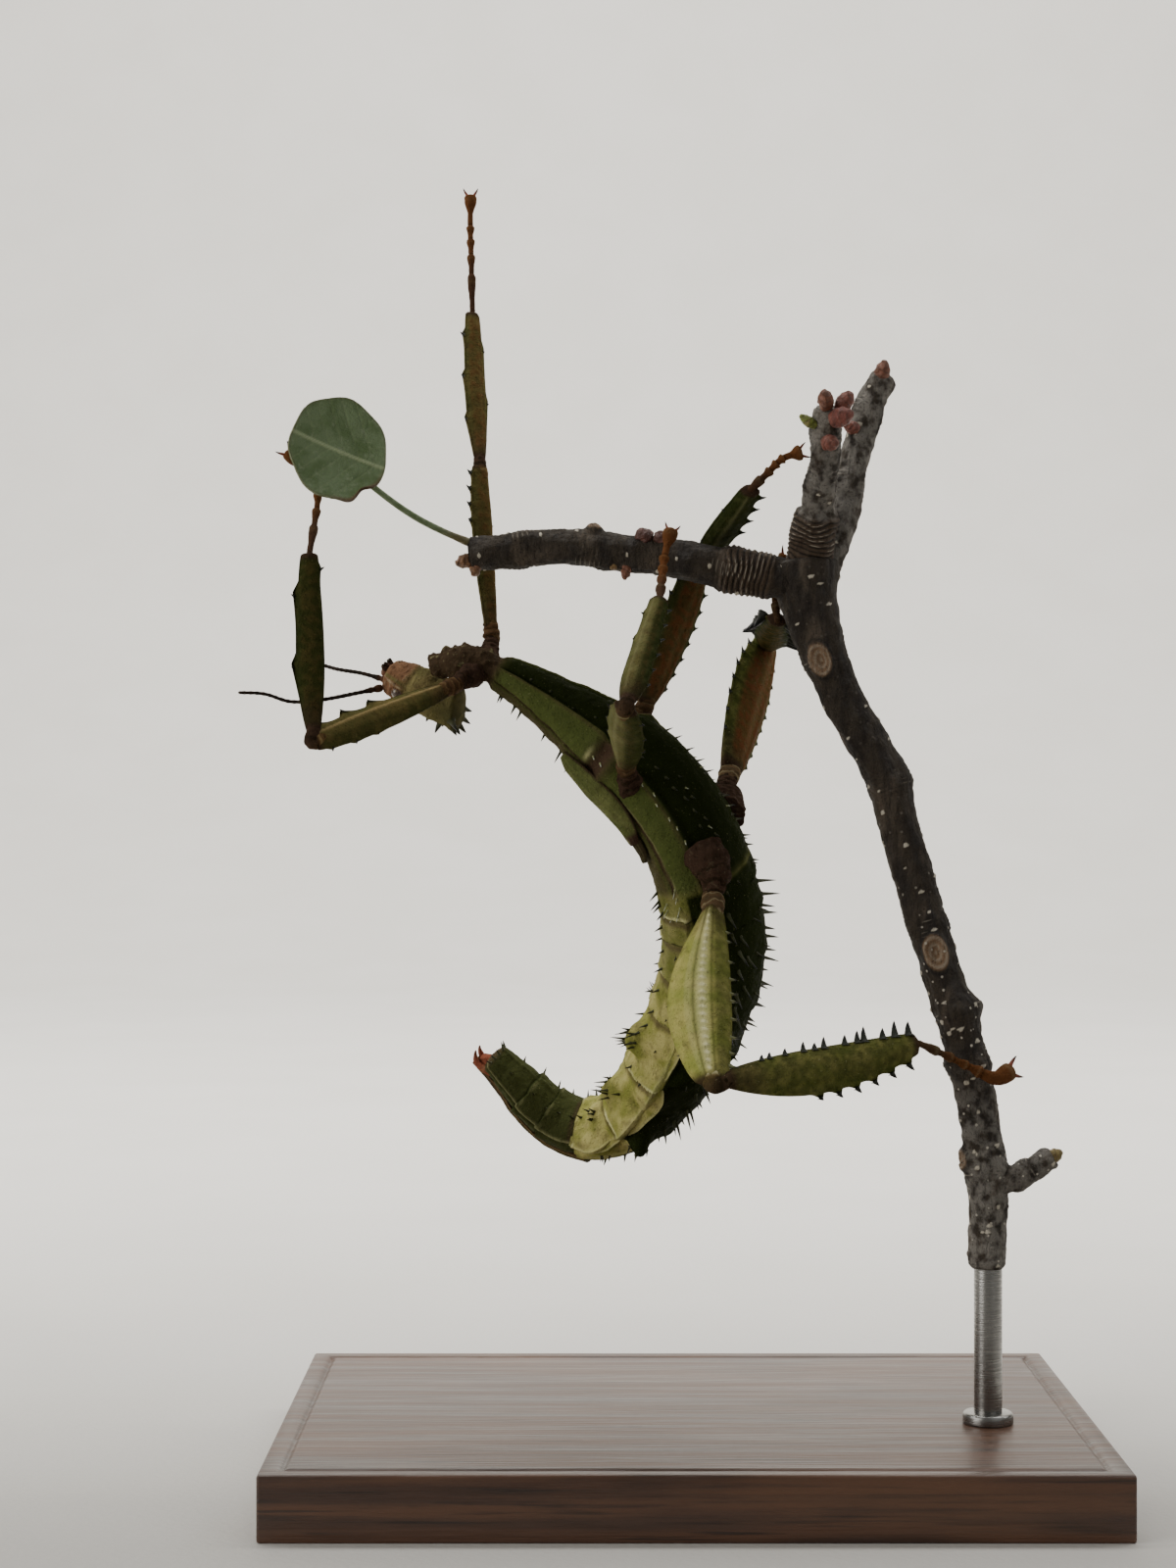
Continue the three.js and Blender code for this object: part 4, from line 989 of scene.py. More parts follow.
def head_skin():
    """The head: broad face, cheeks, eye sockets, and the cone of the crown."""
    tube = straight_tube("head_skin", 20, 36, cuts=3)

    def axis(t):
        return head_point(t, 0, 0)

    def relief(t, turn):
        flank, up = np.abs(np.cos(turn)), np.sin(turn)
        eye = bell(t, EYE["t"], 0.1) * bell(np.abs(np.degrees(turn)) % 180 - 90, 0, 200)
        brow = bell(t, 0.13, 0.05) * bell(up, -0.75, 0.35)
        cheek = bell(t, 0.42, 0.16) * bell(up, 0.35, 0.35)
        neck_fold = bell(t, 0.6, 0.05) * np.clip(up, 0, 1)
        ring = bell(t, 0.34, 0.03) * flank
        return (0.25 * brow + 0.3 * cheek - 0.25 * neck_fold - 0.3 * ring
                + 0.25 * eye * flank ** 6 + 0.18 * bell(up, -1, 0.12) * step_up(t, 0.3, 0.6)
                + 0.25 * step_up(t, 0.8, 0.95))

    def wall(t, turn):
        left, up = head_section(t, turn, relief(t, turn))
        close = np.maximum(dome(t / 0.05) * dome((1 - t) / 0.06), PINCH)
        return head_point(t, left * close, up * close)

    t, turn = wrap(tube, axis, wall)
    points = places(tube)
    fine = rough(points, 0.5, 3)
    lumps = 0.14 * rough(points, 1.3) + 0.06 * fine
    grains = np.clip(rough(points, 0.6, 5) - 0.3, 0, 1) * 0.5 * (1 - step_up(t, 0.3, 0.45))
    for side in (1, -1):
        eye_place = head_point(EYE["t"], side * EYE["left"], EYE["up"])
        gap = np.linalg.norm(points - eye_place, axis=1)
        lumps += 0.25 * bell(gap, 1.35, 0.3)
    push_out(tube, axis(t), lumps + grains)
    face = 1 - step_up(t, 0.24, 0.38)
    up = np.sin(turn)
    stripe = bell(up, 0.35, 0.12) * face * np.abs(np.cos(turn))
    mark(tube, pale=(0.5 * bell(up, 0.12, 0.05) + 0.25 * step_up(fine, 0.35, 0.5)) * face + grains,
         dark=0.6 * bell(t, 0.3, 0.025) * bell(up, -0.2, 0.5) + 0.5 * step_up(-fine, 0.3, 0.5) * face,
         red=np.maximum(0.75 * face, 0.2 * bell(t, 0.5, 0.1)) * (1 - 0.9 * stripe),
         deep=0.55 * step_up(t, 0.55, 1) + 0.3 * bell(up, 0, 0.5) * step_up(t, 0.4, 0.6))
    return tube


def crown_thorns(spines):
    """Spines round the crown, longest at its rim, and small ones over the brow and throat."""
    rng = np.random.default_rng(11)
    feet = []
    for t, shares, length, radius in ((0.96, (0.08, 0.25, 0.42, 0.58, 0.75, 0.92), 1.9, 0.75),
                                      (0.8, (0.3, 0.5, 0.7), 1.7, 0.75), (0.66, (0.4, 0.6), 1.2, 0.6),
                                      (0.52, (0.3, 0.5, 0.7), 0.5, 0.35)):
        for share in shares:
            turn = -math.pi * share
            left, up = head_section(np.array([t]), np.array([turn]))
            foot = head_point(t, left, up)[0]
            behind = head_point(t - 0.24 if t > 0.9 else t + 0.03, 0, 0)
            size = length * rng.uniform(0.7, 1.1)
            feet.append((foot, Vector(foot - behind), size, radius, INSECT.to_3x3() @ HEAD_WAY))
    return grow("head_thorns", thorn_model("head_thorn", 8, 10), scaled(feet, spines))


def eyes():
    """Two bulging eyes, each a dome with a faint rim."""
    balls = []
    for side in ("left", "right"):
        out = 1 if side == "left" else -1
        centre = head_point(EYE["t"], out * EYE["left"], EYE["up"])
        eye = fresh(bpy.ops.mesh.primitive_uv_sphere_add, f"eyeball_{side}", segments=40, ring_count=24,
                    radius=EYE["radius"], location=centre)
        edit_all()
        bpy.ops.transform.resize(value=(1.06, 1, 1.1), center_override=Vector(centre))
        bpy.ops.object.mode_set(mode="OBJECT")
        way = (INSECT.to_3x3() @ Vector((0, out, 0))).normalized()
        facing = (places(eye) - centre) @ np.array(way)
        mark(eye, pale=bell(facing, 0.1, 0.12), dark=step_up(facing, 0.45, 0.8), warm=0)
        balls.append((eye, side))
    return balls


def mouth():
    """Upper lip and four palps."""
    pieces = []
    lip = straight_tube("lip", 12, 10, cuts=2)

    def lip_axis(t):
        return head_point(-0.06 + 0.12 * t, 0, 0.2)

    def lip_wall(t, turn):
        swell = np.sqrt(np.clip(1 - (2 * np.clip(t, 0, 1) - 1) ** 2, 0, 1)) ** 0.7
        notch = 1 - 0.3 * bell(np.cos(turn), 0, 0.25) * (1 - t)
        return head_point(-0.06 + 0.12 * t, 1.3 * swell * np.cos(turn),
                          0.2 + 1.1 * swell * notch * np.sin(turn))

    t, turn = wrap(lip, lip_axis, lip_wall)
    mark(lip, pale=0.3 * bell(t, 0.25, 0.1), dark=0.6 * bell(np.cos(turn), 0, 0.12), red=0.8)
    pieces.append(lip)
    for side in (1, -1):
        for left, up, length in ((1.1, 1, 0.5), (0.5, 1.2, 0.4)):
            foot = head_point(0, side * left, up * 0.8)
            bend = head_point(-0.02 - 0.5 * length / HEAD["length"], side * (left + 0.1), up * 0.8 + 0.3)
            tip = head_point(-0.02 - 0.6 * length / HEAD["length"], side * (left - 0.1), up * 0.8 + 0.6)
            palp, t, _ = capsule("palp", (foot, bend, tip), ((0, 0.36), (0.5, 0.34), (1, 0.26)), 8, 14, 1)
            mark(palp, pale=0.3 * bell(np.mod(t * 3, 1), 0, 0.1), dark=0.8 * step_up(t, 0.5, 1), warm=0.9)
            pieces.append(palp)
    return join(pieces, "mouth")


def antenna(side):
    """One feeler of many short rings."""
    route = Route(ANTENNAE[side])
    tube = straight_tube(f"antenna_{side}_ringed", 8, 80, cuts=2)
    joints = 24

    def radius(t):
        bead = 0.045 * np.abs(np.cos(t * joints * math.pi)) ** 4
        root = 0.3 * bell(t, 0.02, 0.03) + 0.14 * bell(t, 0.09, 0.03)
        tip = np.maximum(dome((1 - t) / 0.02), 0.1)
        return (ANTENNA_WIDTH / 2 * (0.92 - 0.22 * t) + bead + root) * tip

    t, _ = route.clothe(tube, radius)
    mark(tube, pale=0, warm=0.7 * (1 - step_up(t, 0.03, 0.12)),
         dark=0.4 * bell(np.mod(t * joints, 1), 0.5, 0.15))
    return tube


# ---- legs

# where the tip of a tooth stands, as a share of the tooth's length
TOOTH_LEAN = 0.62
# how pointed the far half of a blade may be at most
FAR_POWER = 0.6


def leg_frame(name):
    """World places of a leg's joints."""
    leg, size = LEGS[name], LEG_SIZE[name.split("_")[0]]
    hip = INSECT @ Vector(leg["hip"])
    knee = hip + heading(leg["femur"]) * size["femur"]
    ankle = knee + heading(leg["tibia"]) * size["tibia"]
    return {"root": INSECT @ Vector(leg["root"]), "hip": hip, "knee": knee, "ankle": ankle}


def tooth_shape(t, teeth, start, end):
    """1 at the tip of each tooth, falling steeply behind it."""
    if not teeth:
        return np.zeros_like(t)
    share = np.mod((t - start) / (end - start) * teeth, 1)
    rise = (share / TOOTH_LEAN) ** 1.8
    fall = np.clip(1 - (share - TOOTH_LEAN) / 0.15, 0, 1)
    return np.where(share < TOOTH_LEAN, rise, fall) * ((t > start) & (t < end))


class Blade:
    """A leaf-like leg piece: its middle line and its two edges."""

    def __init__(self, name, piece):
        size, leg, at = LEG_SIZE[name.split("_")[0]], LEGS[name], leg_frame(name)
        self.name = f"{piece}_{name}"
        self.edges = BLADES[self.name]
        start, end = (at["hip"], at["knee"]) if piece == "femur" else (at["knee"], at["ankle"])
        way = (end - start).normalized()
        self.start = np.array(start + way * size["knee"] * (0.9 if piece == "femur" else 0.7))
        self.end = np.array(end + way * (size["knee"] * 0.35 if piece == "femur" else 0.4))
        self.way = np.array(way)
        self.broad = np.array(way.cross(heading(leg[f"{piece}_faces"])).normalized())
        self.flat = np.cross(self.broad, self.way)
        self.half = size[f"{piece}_width"] / 2
        self.thick = size["thick"] * (1 if piece == "femur" else 0.75)
        self.neck = size["knee"] * 0.72 if piece == "femur" else size["tarsus"] * 0.66
        # where the blade is widest, and how far it bows towards its broad side
        self.full = leg.get(f"{piece}_full", size[f"{piece}_full"])
        self.bow = leg.get(f"{piece}_bow", 0)
        self.droop = 1 if self.name == "tibia_hind_left" else 0
        self.stout = 1.7 if self.name in ("tibia_hind_right", "tibia_hind_left") else 1

    def middle(self, t):
        """The middle line, from 0 at its root to 1."""
        t = np.asarray(t)[:, None]
        return self.start + t * (self.end - self.start) + self.bow * np.sin(math.pi * t) * self.broad

    def reach(self, t, side):
        """Half width at t, with its teeth, on the edge of this side (1 is the broad one)."""
        quarter = np.where(t < self.full, 1 - t / self.full, (t - self.full) / (1 - self.full))
        wide, power, teeth, height, start, end = self.edges[0 if side > 0 else 1][:6]
        neck = self.neck * (1 + 0.35 * step_up(t, 0.75, 1))
        power = np.where(t < self.full, power, min(power, FAR_POWER))
        plain = neck + (self.half * wide - neck) * np.clip(np.cos(math.pi / 2 * quarter), 0, 1) ** power
        return plain, height * tooth_shape(t, teeth, start, end)

    def skin(self):
        """The blade as a mesh, with its ridge, beads and marks."""
        tube = straight_tube("blade", 14, 44, cuts=3)
        band, place, beads, brown, deep, far = BLADE_LOOKS[self.name]

        def wall(t, turn):
            cos, sin = np.cos(turn), np.sin(turn)
            ends = both_ends(t, 0.02)
            plain, tooth = np.where(cos > 0, self.reach(t, 1), self.reach(t, -1))
            half = plain + tooth * np.abs(cos) ** 5
            across = np.sign(cos) * np.abs(cos) ** 0.9 * half
            body = np.clip(np.sin(math.pi * np.clip(0.1 + 0.85 * t, 0, 1)), 0, 1) ** 0.7
            rise = self.neck * 0.9 + (self.thick / 2 - self.neck * 0.9) * body
            ridge = 0.06 * bell(cos, place, 0.16) * (band > 0.3) + 0.035 * bell(cos, place + 0.36, 0.07)
            bead = 0.06 * bell(cos, place, 0.09) * np.abs(np.sin(t * beads * math.pi)) if beads else 0
            relief = self.thick * (ridge + bead) * body * (half > self.neck * 1.2)
            out = np.maximum(rise * np.abs(sin) ** 1.8 + relief, 0.17 * np.abs(cos) ** 8)
            out *= np.sign(sin + 1e-9)
            return self.middle(t) + np.outer(across * ends, self.broad) + np.outer(out * ends, self.flat)

        t, turn = wrap(tube, self.middle, wall)
        points = places(tube)
        noise_fine = rough(points, 0.9, 2)
        put(tube, points + (0.06 * noise_fine)[:, None] * self.flat)
        cos = np.cos(turn)
        edge = step_up(np.abs(cos), 0.86, 0.99)
        tip = np.where(cos > 0, self.reach(t, 1)[1], self.reach(t, -1)[1]) * edge
        ends = np.maximum(1 - step_up(t, 0.02, 0.12), step_up(t, 0.93, 0.99))
        blotch = step_up(noise_fine, -0.3, 0.4)
        stripe = band * bell(cos, place, 0.17) * (0.6 if beads else 0.8)
        if beads:
            bead = np.abs(np.sin(t * beads * math.pi)) ** 2
            stripe = np.maximum(stripe, band * bell(cos, place, 0.08) * bead * 1.4)
            stripe = np.maximum(stripe, 0.6 * bell(cos, place + 0.34, 0.05))
        middle = 1 - step_up(np.abs(cos), 0.55, 0.85)
        far_half = np.abs(far) * step_up(-cos * (1 if far >= 0 else -1), -0.05, 0.35)
        grooves = 0.55 * (bell(cos, place + 0.2, 0.06) + bell(cos, place - 0.24, 0.07)) if beads else 0
        root = 1 - step_up(t, 0.08, 0.3)
        mark(tube, pale=stripe * (1 - ends), red=brown * middle * (1 - ends) * (0.55 + 0.45 * blotch),
             deep=np.maximum(np.maximum(deep, far_half) * (1 - 0.15 * blotch), grooves),
             dark=step_up(tip, 0.2, 0.45) * 0.8,
             warm=np.maximum.reduce([0.85 * ends, 0.5 * root, 0.35 * edge * blotch * (brown > 0.1)]))
        return tube

    def spine_feet(self, rng):
        """Feet of the spines on both edges; at the tips of the teeth where there are any."""
        feet = []
        for side, (_, _, teeth, _, start, end, count, first, last) in zip((1, -1), self.edges):
            for k in range(count):
                t = start + (end - start) * (k + TOOTH_LEAN - 0.05) / count
                t += 0 if teeth == count else rng.uniform(-0.3, 0.3) * (end - start) / count
                spot = np.array([t])
                plain, tooth = self.reach(spot, side)
                foot = self.middle(spot)[0] + self.broad * side * (plain[0] + tooth[0]) * 0.97
                length = first + (last - first) * k / max(count - 1, 1)
                towards = (self.broad * side + self.way * (0.5 if teeth else 0.12)
                           + self.droop * Vector((0.2, 0, -0.5 - k / count)))
                radius = (0.24 + 0.13 * length) * self.stout
                feet.append((foot, towards, length * rng.uniform(0.75, 1.15), radius, self.way))
        return feet


def capsule(name, route, radii, around, rings, cuts):
    """A round piece along a route, radii as (share of the length, radius)."""
    line = Route(route)
    stops, sizes = zip(*radii)
    tube = straight_tube(name, around, rings, cuts=cuts)

    def radius(t):
        return np.interp(t, stops, sizes) * np.maximum(both_ends(t, 0.05), PINCH)

    return tube, *line.clothe(tube, radius)


def tarsus_route(name):
    """The middle line of a foot, out of the end of its shin."""
    leg, size = LEGS[name], LEG_SIZE[name.split("_")[0]]
    ankle = leg_frame(name)["ankle"]
    route = [ankle - heading(leg["tibia"]) * size["tarsus"] * 1.2,
             ankle + heading(leg["tibia"]) * size["tarsus"] * 0.2]
    for length, *turn in leg["tarsus"]:
        route.append(route[-1] + heading(turn) * length)
    return route


# where the foot's joints meet, as shares of its length
TARSUS_JOINTS = (0.06, 0.38, 0.53, 0.65, 0.75, 1)


def tarsus(name):
    """Foot: five joints that swell to their far ends."""
    size = LEG_SIZE[name.split("_")[0]]["tarsus"] / 2
    route = Route(tarsus_route(name))
    tube = straight_tube("tarsus", 12, 44, cuts=2)

    def share_of_joint(t):
        share = np.zeros_like(t)
        for low, high in zip(TARSUS_JOINTS, TARSUS_JOINTS[1:]):
            here = (t >= low) & (t <= high)
            share = np.where(here, (t - low) / (high - low), share)
        return share

    def radius(t):
        share = share_of_joint(t)
        swell = 0.7 + 0.36 * step_up(share, 0.35, 0.85) - 0.3 * step_up(share, 0.93, 1)
        last = step_up(t, 0.62, 0.93) if name == "hind_right" else 0.55 * step_up(t, 0.84, 0.95)
        end = np.maximum(dome((1 - t) / 0.03), 0.1414)
        return size * (swell + last) * end

    t, _ = route.clothe(tube, radius)
    points = places(tube)
    put(tube, points + 0.04 * rough(points, 0.5)[:, None])
    share = share_of_joint(t)
    mark(tube, warm=0.9 * (1 - step_up(t, 0.5, 0.8)), red=0.25 + 0.75 * step_up(t, 0.3, 0.7),
         dark=0.5 * bell(share, 0.02, 0.08), pale=0.15 * bell(share, 0.8, 0.1))
    return tube


def leg_skin(name):
    """Coxa, thigh, shin and foot of one leg, grown into one another."""
    size, leg, at = LEG_SIZE[name.split("_")[0]], LEGS[name], leg_frame(name)
    root, hip, knee = at["root"], at["hip"], at["knee"]
    wide, narrow = size["coxa"], size["knee"]
    femur_way, tibia_way = heading(leg["femur"]), heading(leg["tibia"])
    pieces = []

    # hip: a lumpy cone out of the body, ringed with wrinkles where it narrows
    coxa_way = (hip - root).normalized()
    shift = Vector((1.8, 0, 0.6)) if name == "hind_right" else Vector()
    route = (root - coxa_way * 0.8 + shift, root.lerp(hip, 0.5) + shift, hip + femur_way * 0.3)
    coxa, t, _ = capsule("coxa", route, ((0, wide * 1.3), (0.3, wide * 1.2), (0.6, wide * 0.95),
                                         (0.82, narrow * 0.82), (1, narrow * 0.95)), 16, 30, 3)
    points = places(coxa)
    lumps = rough(points, 1.1, 4)
    folds = np.cos(t * 30 + 2 * lumps) * step_up(t, 0.35, 0.6)
    push_out(coxa, np.array(root) + np.outer(t, hip - root),
             0.35 * lumps + 0.12 * rough(points, 0.45, 8) + 0.1 * folds)
    mark(coxa, warm=0.97, red=0.1 * step_up(t, 0.5, 0.8),
         pale=0.12 * step_up(rough(points, 0.5, 9), 0.35, 0.55),
         dark=np.maximum(0.5 * step_up(-folds, 0.2, 0.8), 0.35 * step_up(-lumps, 0.1, 0.4)))
    pieces.append(coxa)

    # short ring between hip and thigh
    route = [hip + femur_way * narrow * on for on in (-0.5, 1, 2.6)]
    trochanter, t, _ = capsule("trochanter", route, ((0, narrow * 0.8), (0.4, narrow), (1, narrow * 0.75)),
                               12, 20, 3)
    points = places(trochanter)
    folds = np.cos(t * 24 + 2 * rough(points, 0.8))
    put(trochanter, points + (0.14 * rough(points, 0.7, 6) + 0.06 * folds)[:, None])
    mark(trochanter, warm=0.9 * (1 - 0.5 * step_up(t, 0.7, 1)), red=0.4,
         pale=0.12 + 0.15 * step_up(folds, 0.6, 0.9), dark=0.45 * step_up(-folds, 0.3, 0.9))
    pieces.append(trochanter)
    pieces.append(Blade(name, "femur").skin())

    bend = (tibia_way - femur_way).normalized()
    route = (knee - femur_way * narrow * 1.5 - bend * 0.1, knee + femur_way * 0.3,
             knee + tibia_way * narrow * 1.4)
    joint, t, _ = capsule("knee", route, ((0, narrow * 0.75), (0.45, narrow * 0.88), (0.6, narrow * 0.78),
                                          (1, narrow * 0.66)), 12, 24, 3)
    points = places(joint)
    fine = rough(points, 0.5, 2)
    put(joint, points + (0.12 * rough(points, 0.9, 6) + 0.05 * fine)[:, None])
    mark(joint, warm=0.55 + 0.35 * step_up(t, 0.3, 0.6), red=0.5 * (1 - step_up(t, 0.35, 0.6)),
         pale=0.15 * (1 - step_up(t, 0.3, 0.5)) + 0.4 * bell(t, 0.36, 0.06),
         dark=np.maximum(0.5 * bell(t, 0.62, 0.07), 0.6 * step_up(fine, 0.25, 0.45)))
    pieces.append(joint)
    pieces.append(Blade(name, "tibia").skin())
    pieces.append(tarsus(name))
    return join(pieces, f"leg_{name}")


def leg_thorns(name, piece, spines):
    """The spines of one thigh or shin."""
    rng = np.random.default_rng(sum(map(ord, name + piece)))
    feet = Blade(name, piece).spine_feet(rng)
    return grow(f"{piece}_thorns_{name}", thorn_model("leg_thorn", 8, 22), scaled(feet, spines))


def claws(name):
    """Two hooked claws."""
    leg = LEGS[name]
    last = tarsus_route(name)[-1]
    way = heading(leg["tarsus"][-1][1:])
    side = way.cross(heading((-90, 0))).normalized()
    length, radius = (3.4, 0.65) if name == "hind_right" else (2.2, 0.42)
    feet = []
    for out in (1, -1):
        foot = last + side * out * 0.3 - way * 0.5
        feet.append((foot, side * out * 0.7 + way, length, radius, way + side * out * 0.2))
    return grow(f"claws_{name}", thorn_model("claw", 10, 52), feet)


# ---- wing covers and tail

def sheet(name, wide, long):
    """A flat grid, and each vertex's place across it from -1 to 1 and along it from 0 to 1."""
    grid = fresh(bpy.ops.mesh.primitive_grid_add, name, x_subdivisions=wide, y_subdivisions=long,
                 size=1, location=(0.5, 0.5, 0))
    across, along, _ = places(grid).T
    return grid, across * 2 - 1, along


def thicken(obj, thick):
    """Gives a sheet its thickness, half to either side."""
    only(obj)
    solid = obj.modifiers.new("Thickness", "SOLIDIFY")
    solid.thickness, solid.offset = thick, 0
    bpy.ops.object.modifier_apply(modifier=solid.name)
    edit_all()
    face_out()


# the cover and the end of the hind wing below it: where each starts, its length, half its spread in
# degrees, how high it arches, and whether it is brown
WING_SHEETS = ((25.9, 17.6, 26, 1.35, False), (40, 7, 11, 0.7, True))
# middle of a wing cover, in degrees
WING_ANGLE = -148


def cover_width(t):
    """Share of a wing cover's width, rounded at both ends."""
    return np.maximum(0.08, np.sin(math.pi * np.minimum(1, 0.06 + 0.9 * t)) ** 0.55)


def wing_cover(side):
    """A leathery, convex wing cover with sunk rims, and the folded hind wing below its tip."""
    pieces = []
    for start, length, half, height, brown in WING_SHEETS:
        cover, w, t = sheet("wing_sheet", 40, 70)
        spread = WING_ANGLE + half * w * cover_width(t)
        angle = spread if side == "right" else 180 - spread
        veins = sum(bell(w, middle, 0.05) for middle in (-0.62, -0.3, 0.02, 0.3, 0.6))
        cross = np.abs(np.sin(t * 26 * math.pi + 3 * w)) ** 12 * (1 - np.abs(w))
        rim = step_up(np.abs(w), 0.86, 1)
        rise = 0.2 + height * (1 - w ** 2) ** 0.8 * step_up(t, -0.1, 0.12) * (1 - 0.5 * t ** 4)
        rise += 0.3 * step_up(t, 0.8, 1) + 0.05 * veins + 0.03 * cross
        put(cover, BODY.surface(start + length * t, angle, rise))
        thicken(cover, 0.3)
        if brown:
            mark(cover, pale=0.2 * veins, dark=0.4 * rim, deep=0.8, warm=0.6)
        else:
            tip = step_up(t, 0.86, 0.95)
            spot = bell(t, 0.95, 0.03) * bell(w, 0.1, 0.25)
            dots = step_up(np.sin(t * 70 * math.pi), 0, 0.6) * bell(np.abs(w), 0.8, 0.05)
            mark(cover, pale=0.12 * veins + 0.6 * spot, dark=0.5 * dots, deep=0.2,
                 warm=np.maximum(tip, 0.9 * rim))
        pieces.append(cover)
    return join(pieces, f"wing_cover_{side}")


# where the plate below the tail starts, how long it is, and how far its end stands past the tail
TAIL_PLATE = (109.2, 19.2, 1.6)


def tail_plate():
    """The long keeled plate below the tail."""
    plate, w, t = sheet("tail_plate", 30, 70)
    angle = 90 + 36 * w * (1 - 0.7 * t ** 1.6)
    keel = bell(w, 0, 0.08)
    rise = (0.15 + 0.95 * (1 - w ** 2) ** 0.7 + 0.2 * keel
            + 0.12 * rough(np.stack([w * 6, t * 18, t * 0], axis=1), 1))
    start, length, past = TAIL_PLATE
    end = past * step_up(t, 0.7, 1)[:, None] * BODY.tailward(BODY.length - 1)
    put(plate, BODY.surface(start + length * t, angle, rise) + end)
    thicken(plate, 0.45)
    rim = step_up(np.abs(w), 0.84, 1)
    mark(plate, pale=0.3 * rim, dark=0.35 * bell(np.abs(w), 0.7, 0.12),
         warm=0.35 + 0.3 * step_up(t, 0.4, 0.9), red=0.5 * np.maximum(rim, step_up(t, 0.8, 1)))
    return plate


# middle line of a cercus: past the tail's end, out to its side and out to the belly
CERCUS = ((-1, 1, 1.5), (0.6, 1.2, 2.1), (1.8, 1.1, 2.2), (2.8, 0.9, 1.5), (3.3, 0.8, 0.8))


def tail_feelers():
    """Two curved reddish cerci growing out of the end of the tail."""
    length = BODY.length

    def spot(on, left, up):
        return Vector(BODY.point(length - 1, left, up)) + Vector(BODY.tailward(length - 1)) * on

    pieces = []
    for side in (1, -1):
        route = [spot(on, side * left, up) for on, left, up in CERCUS]
        cercus, t, _ = capsule("cercus", route, ((0, 0.8), (0.35, 0.62), (0.7, 0.42), (1, 0.1)), 12, 26, 1)
        mark(cercus, red=1, dark=0.5 * step_up(t, 0.7, 1), pale=0.2 * bell(t, 0.3, 0.1))
        pieces.append(cercus)
    root, t, _ = capsule("tail_root", (spot(-0.6, 0, 0.9), spot(0.8, 0, 1.3), spot(2, 0, 1.6)),
                         ((0, 1.4), (0.5, 1.2), (1, 0.5)), 12, 16, 2)
    points = places(root)
    put(root, points + 0.2 * rough(points, 0.8)[:, None])
    mark(root, red=0.8, warm=0.4, dark=0.3 * step_up(rough(points, 0.4, 2), 0.1, 0.4), pale=0)
    pieces.append(root)
    return join(pieces, "tail_feelers")


# ---- twigs, leaf and stand

# oval scars where side twigs broke off, as (share of the length, turn, half height, half width)
SCARS = {"perch_stem": ((0.14, -78, 2.6, 1.5), (0.57, -95, 2.8, 1.6), (0.85, -20, 1.6, 1.2)),
         "perch_branch": ((0.62, -10, 1.1, 0.9),)}
# parts of twigs that are folded into rings, as shares of the length, and how far they swell
WRINKLES = {"perch_branch": (0.08, 0.2, 0.4), "perch_twig": (0.04, 0.36, 0.9)}
# pores in a millimetre of twig
PORES = {"perch_stem": 1.6, "perch_stub": 1.6}
FEW_PORES = 0.7


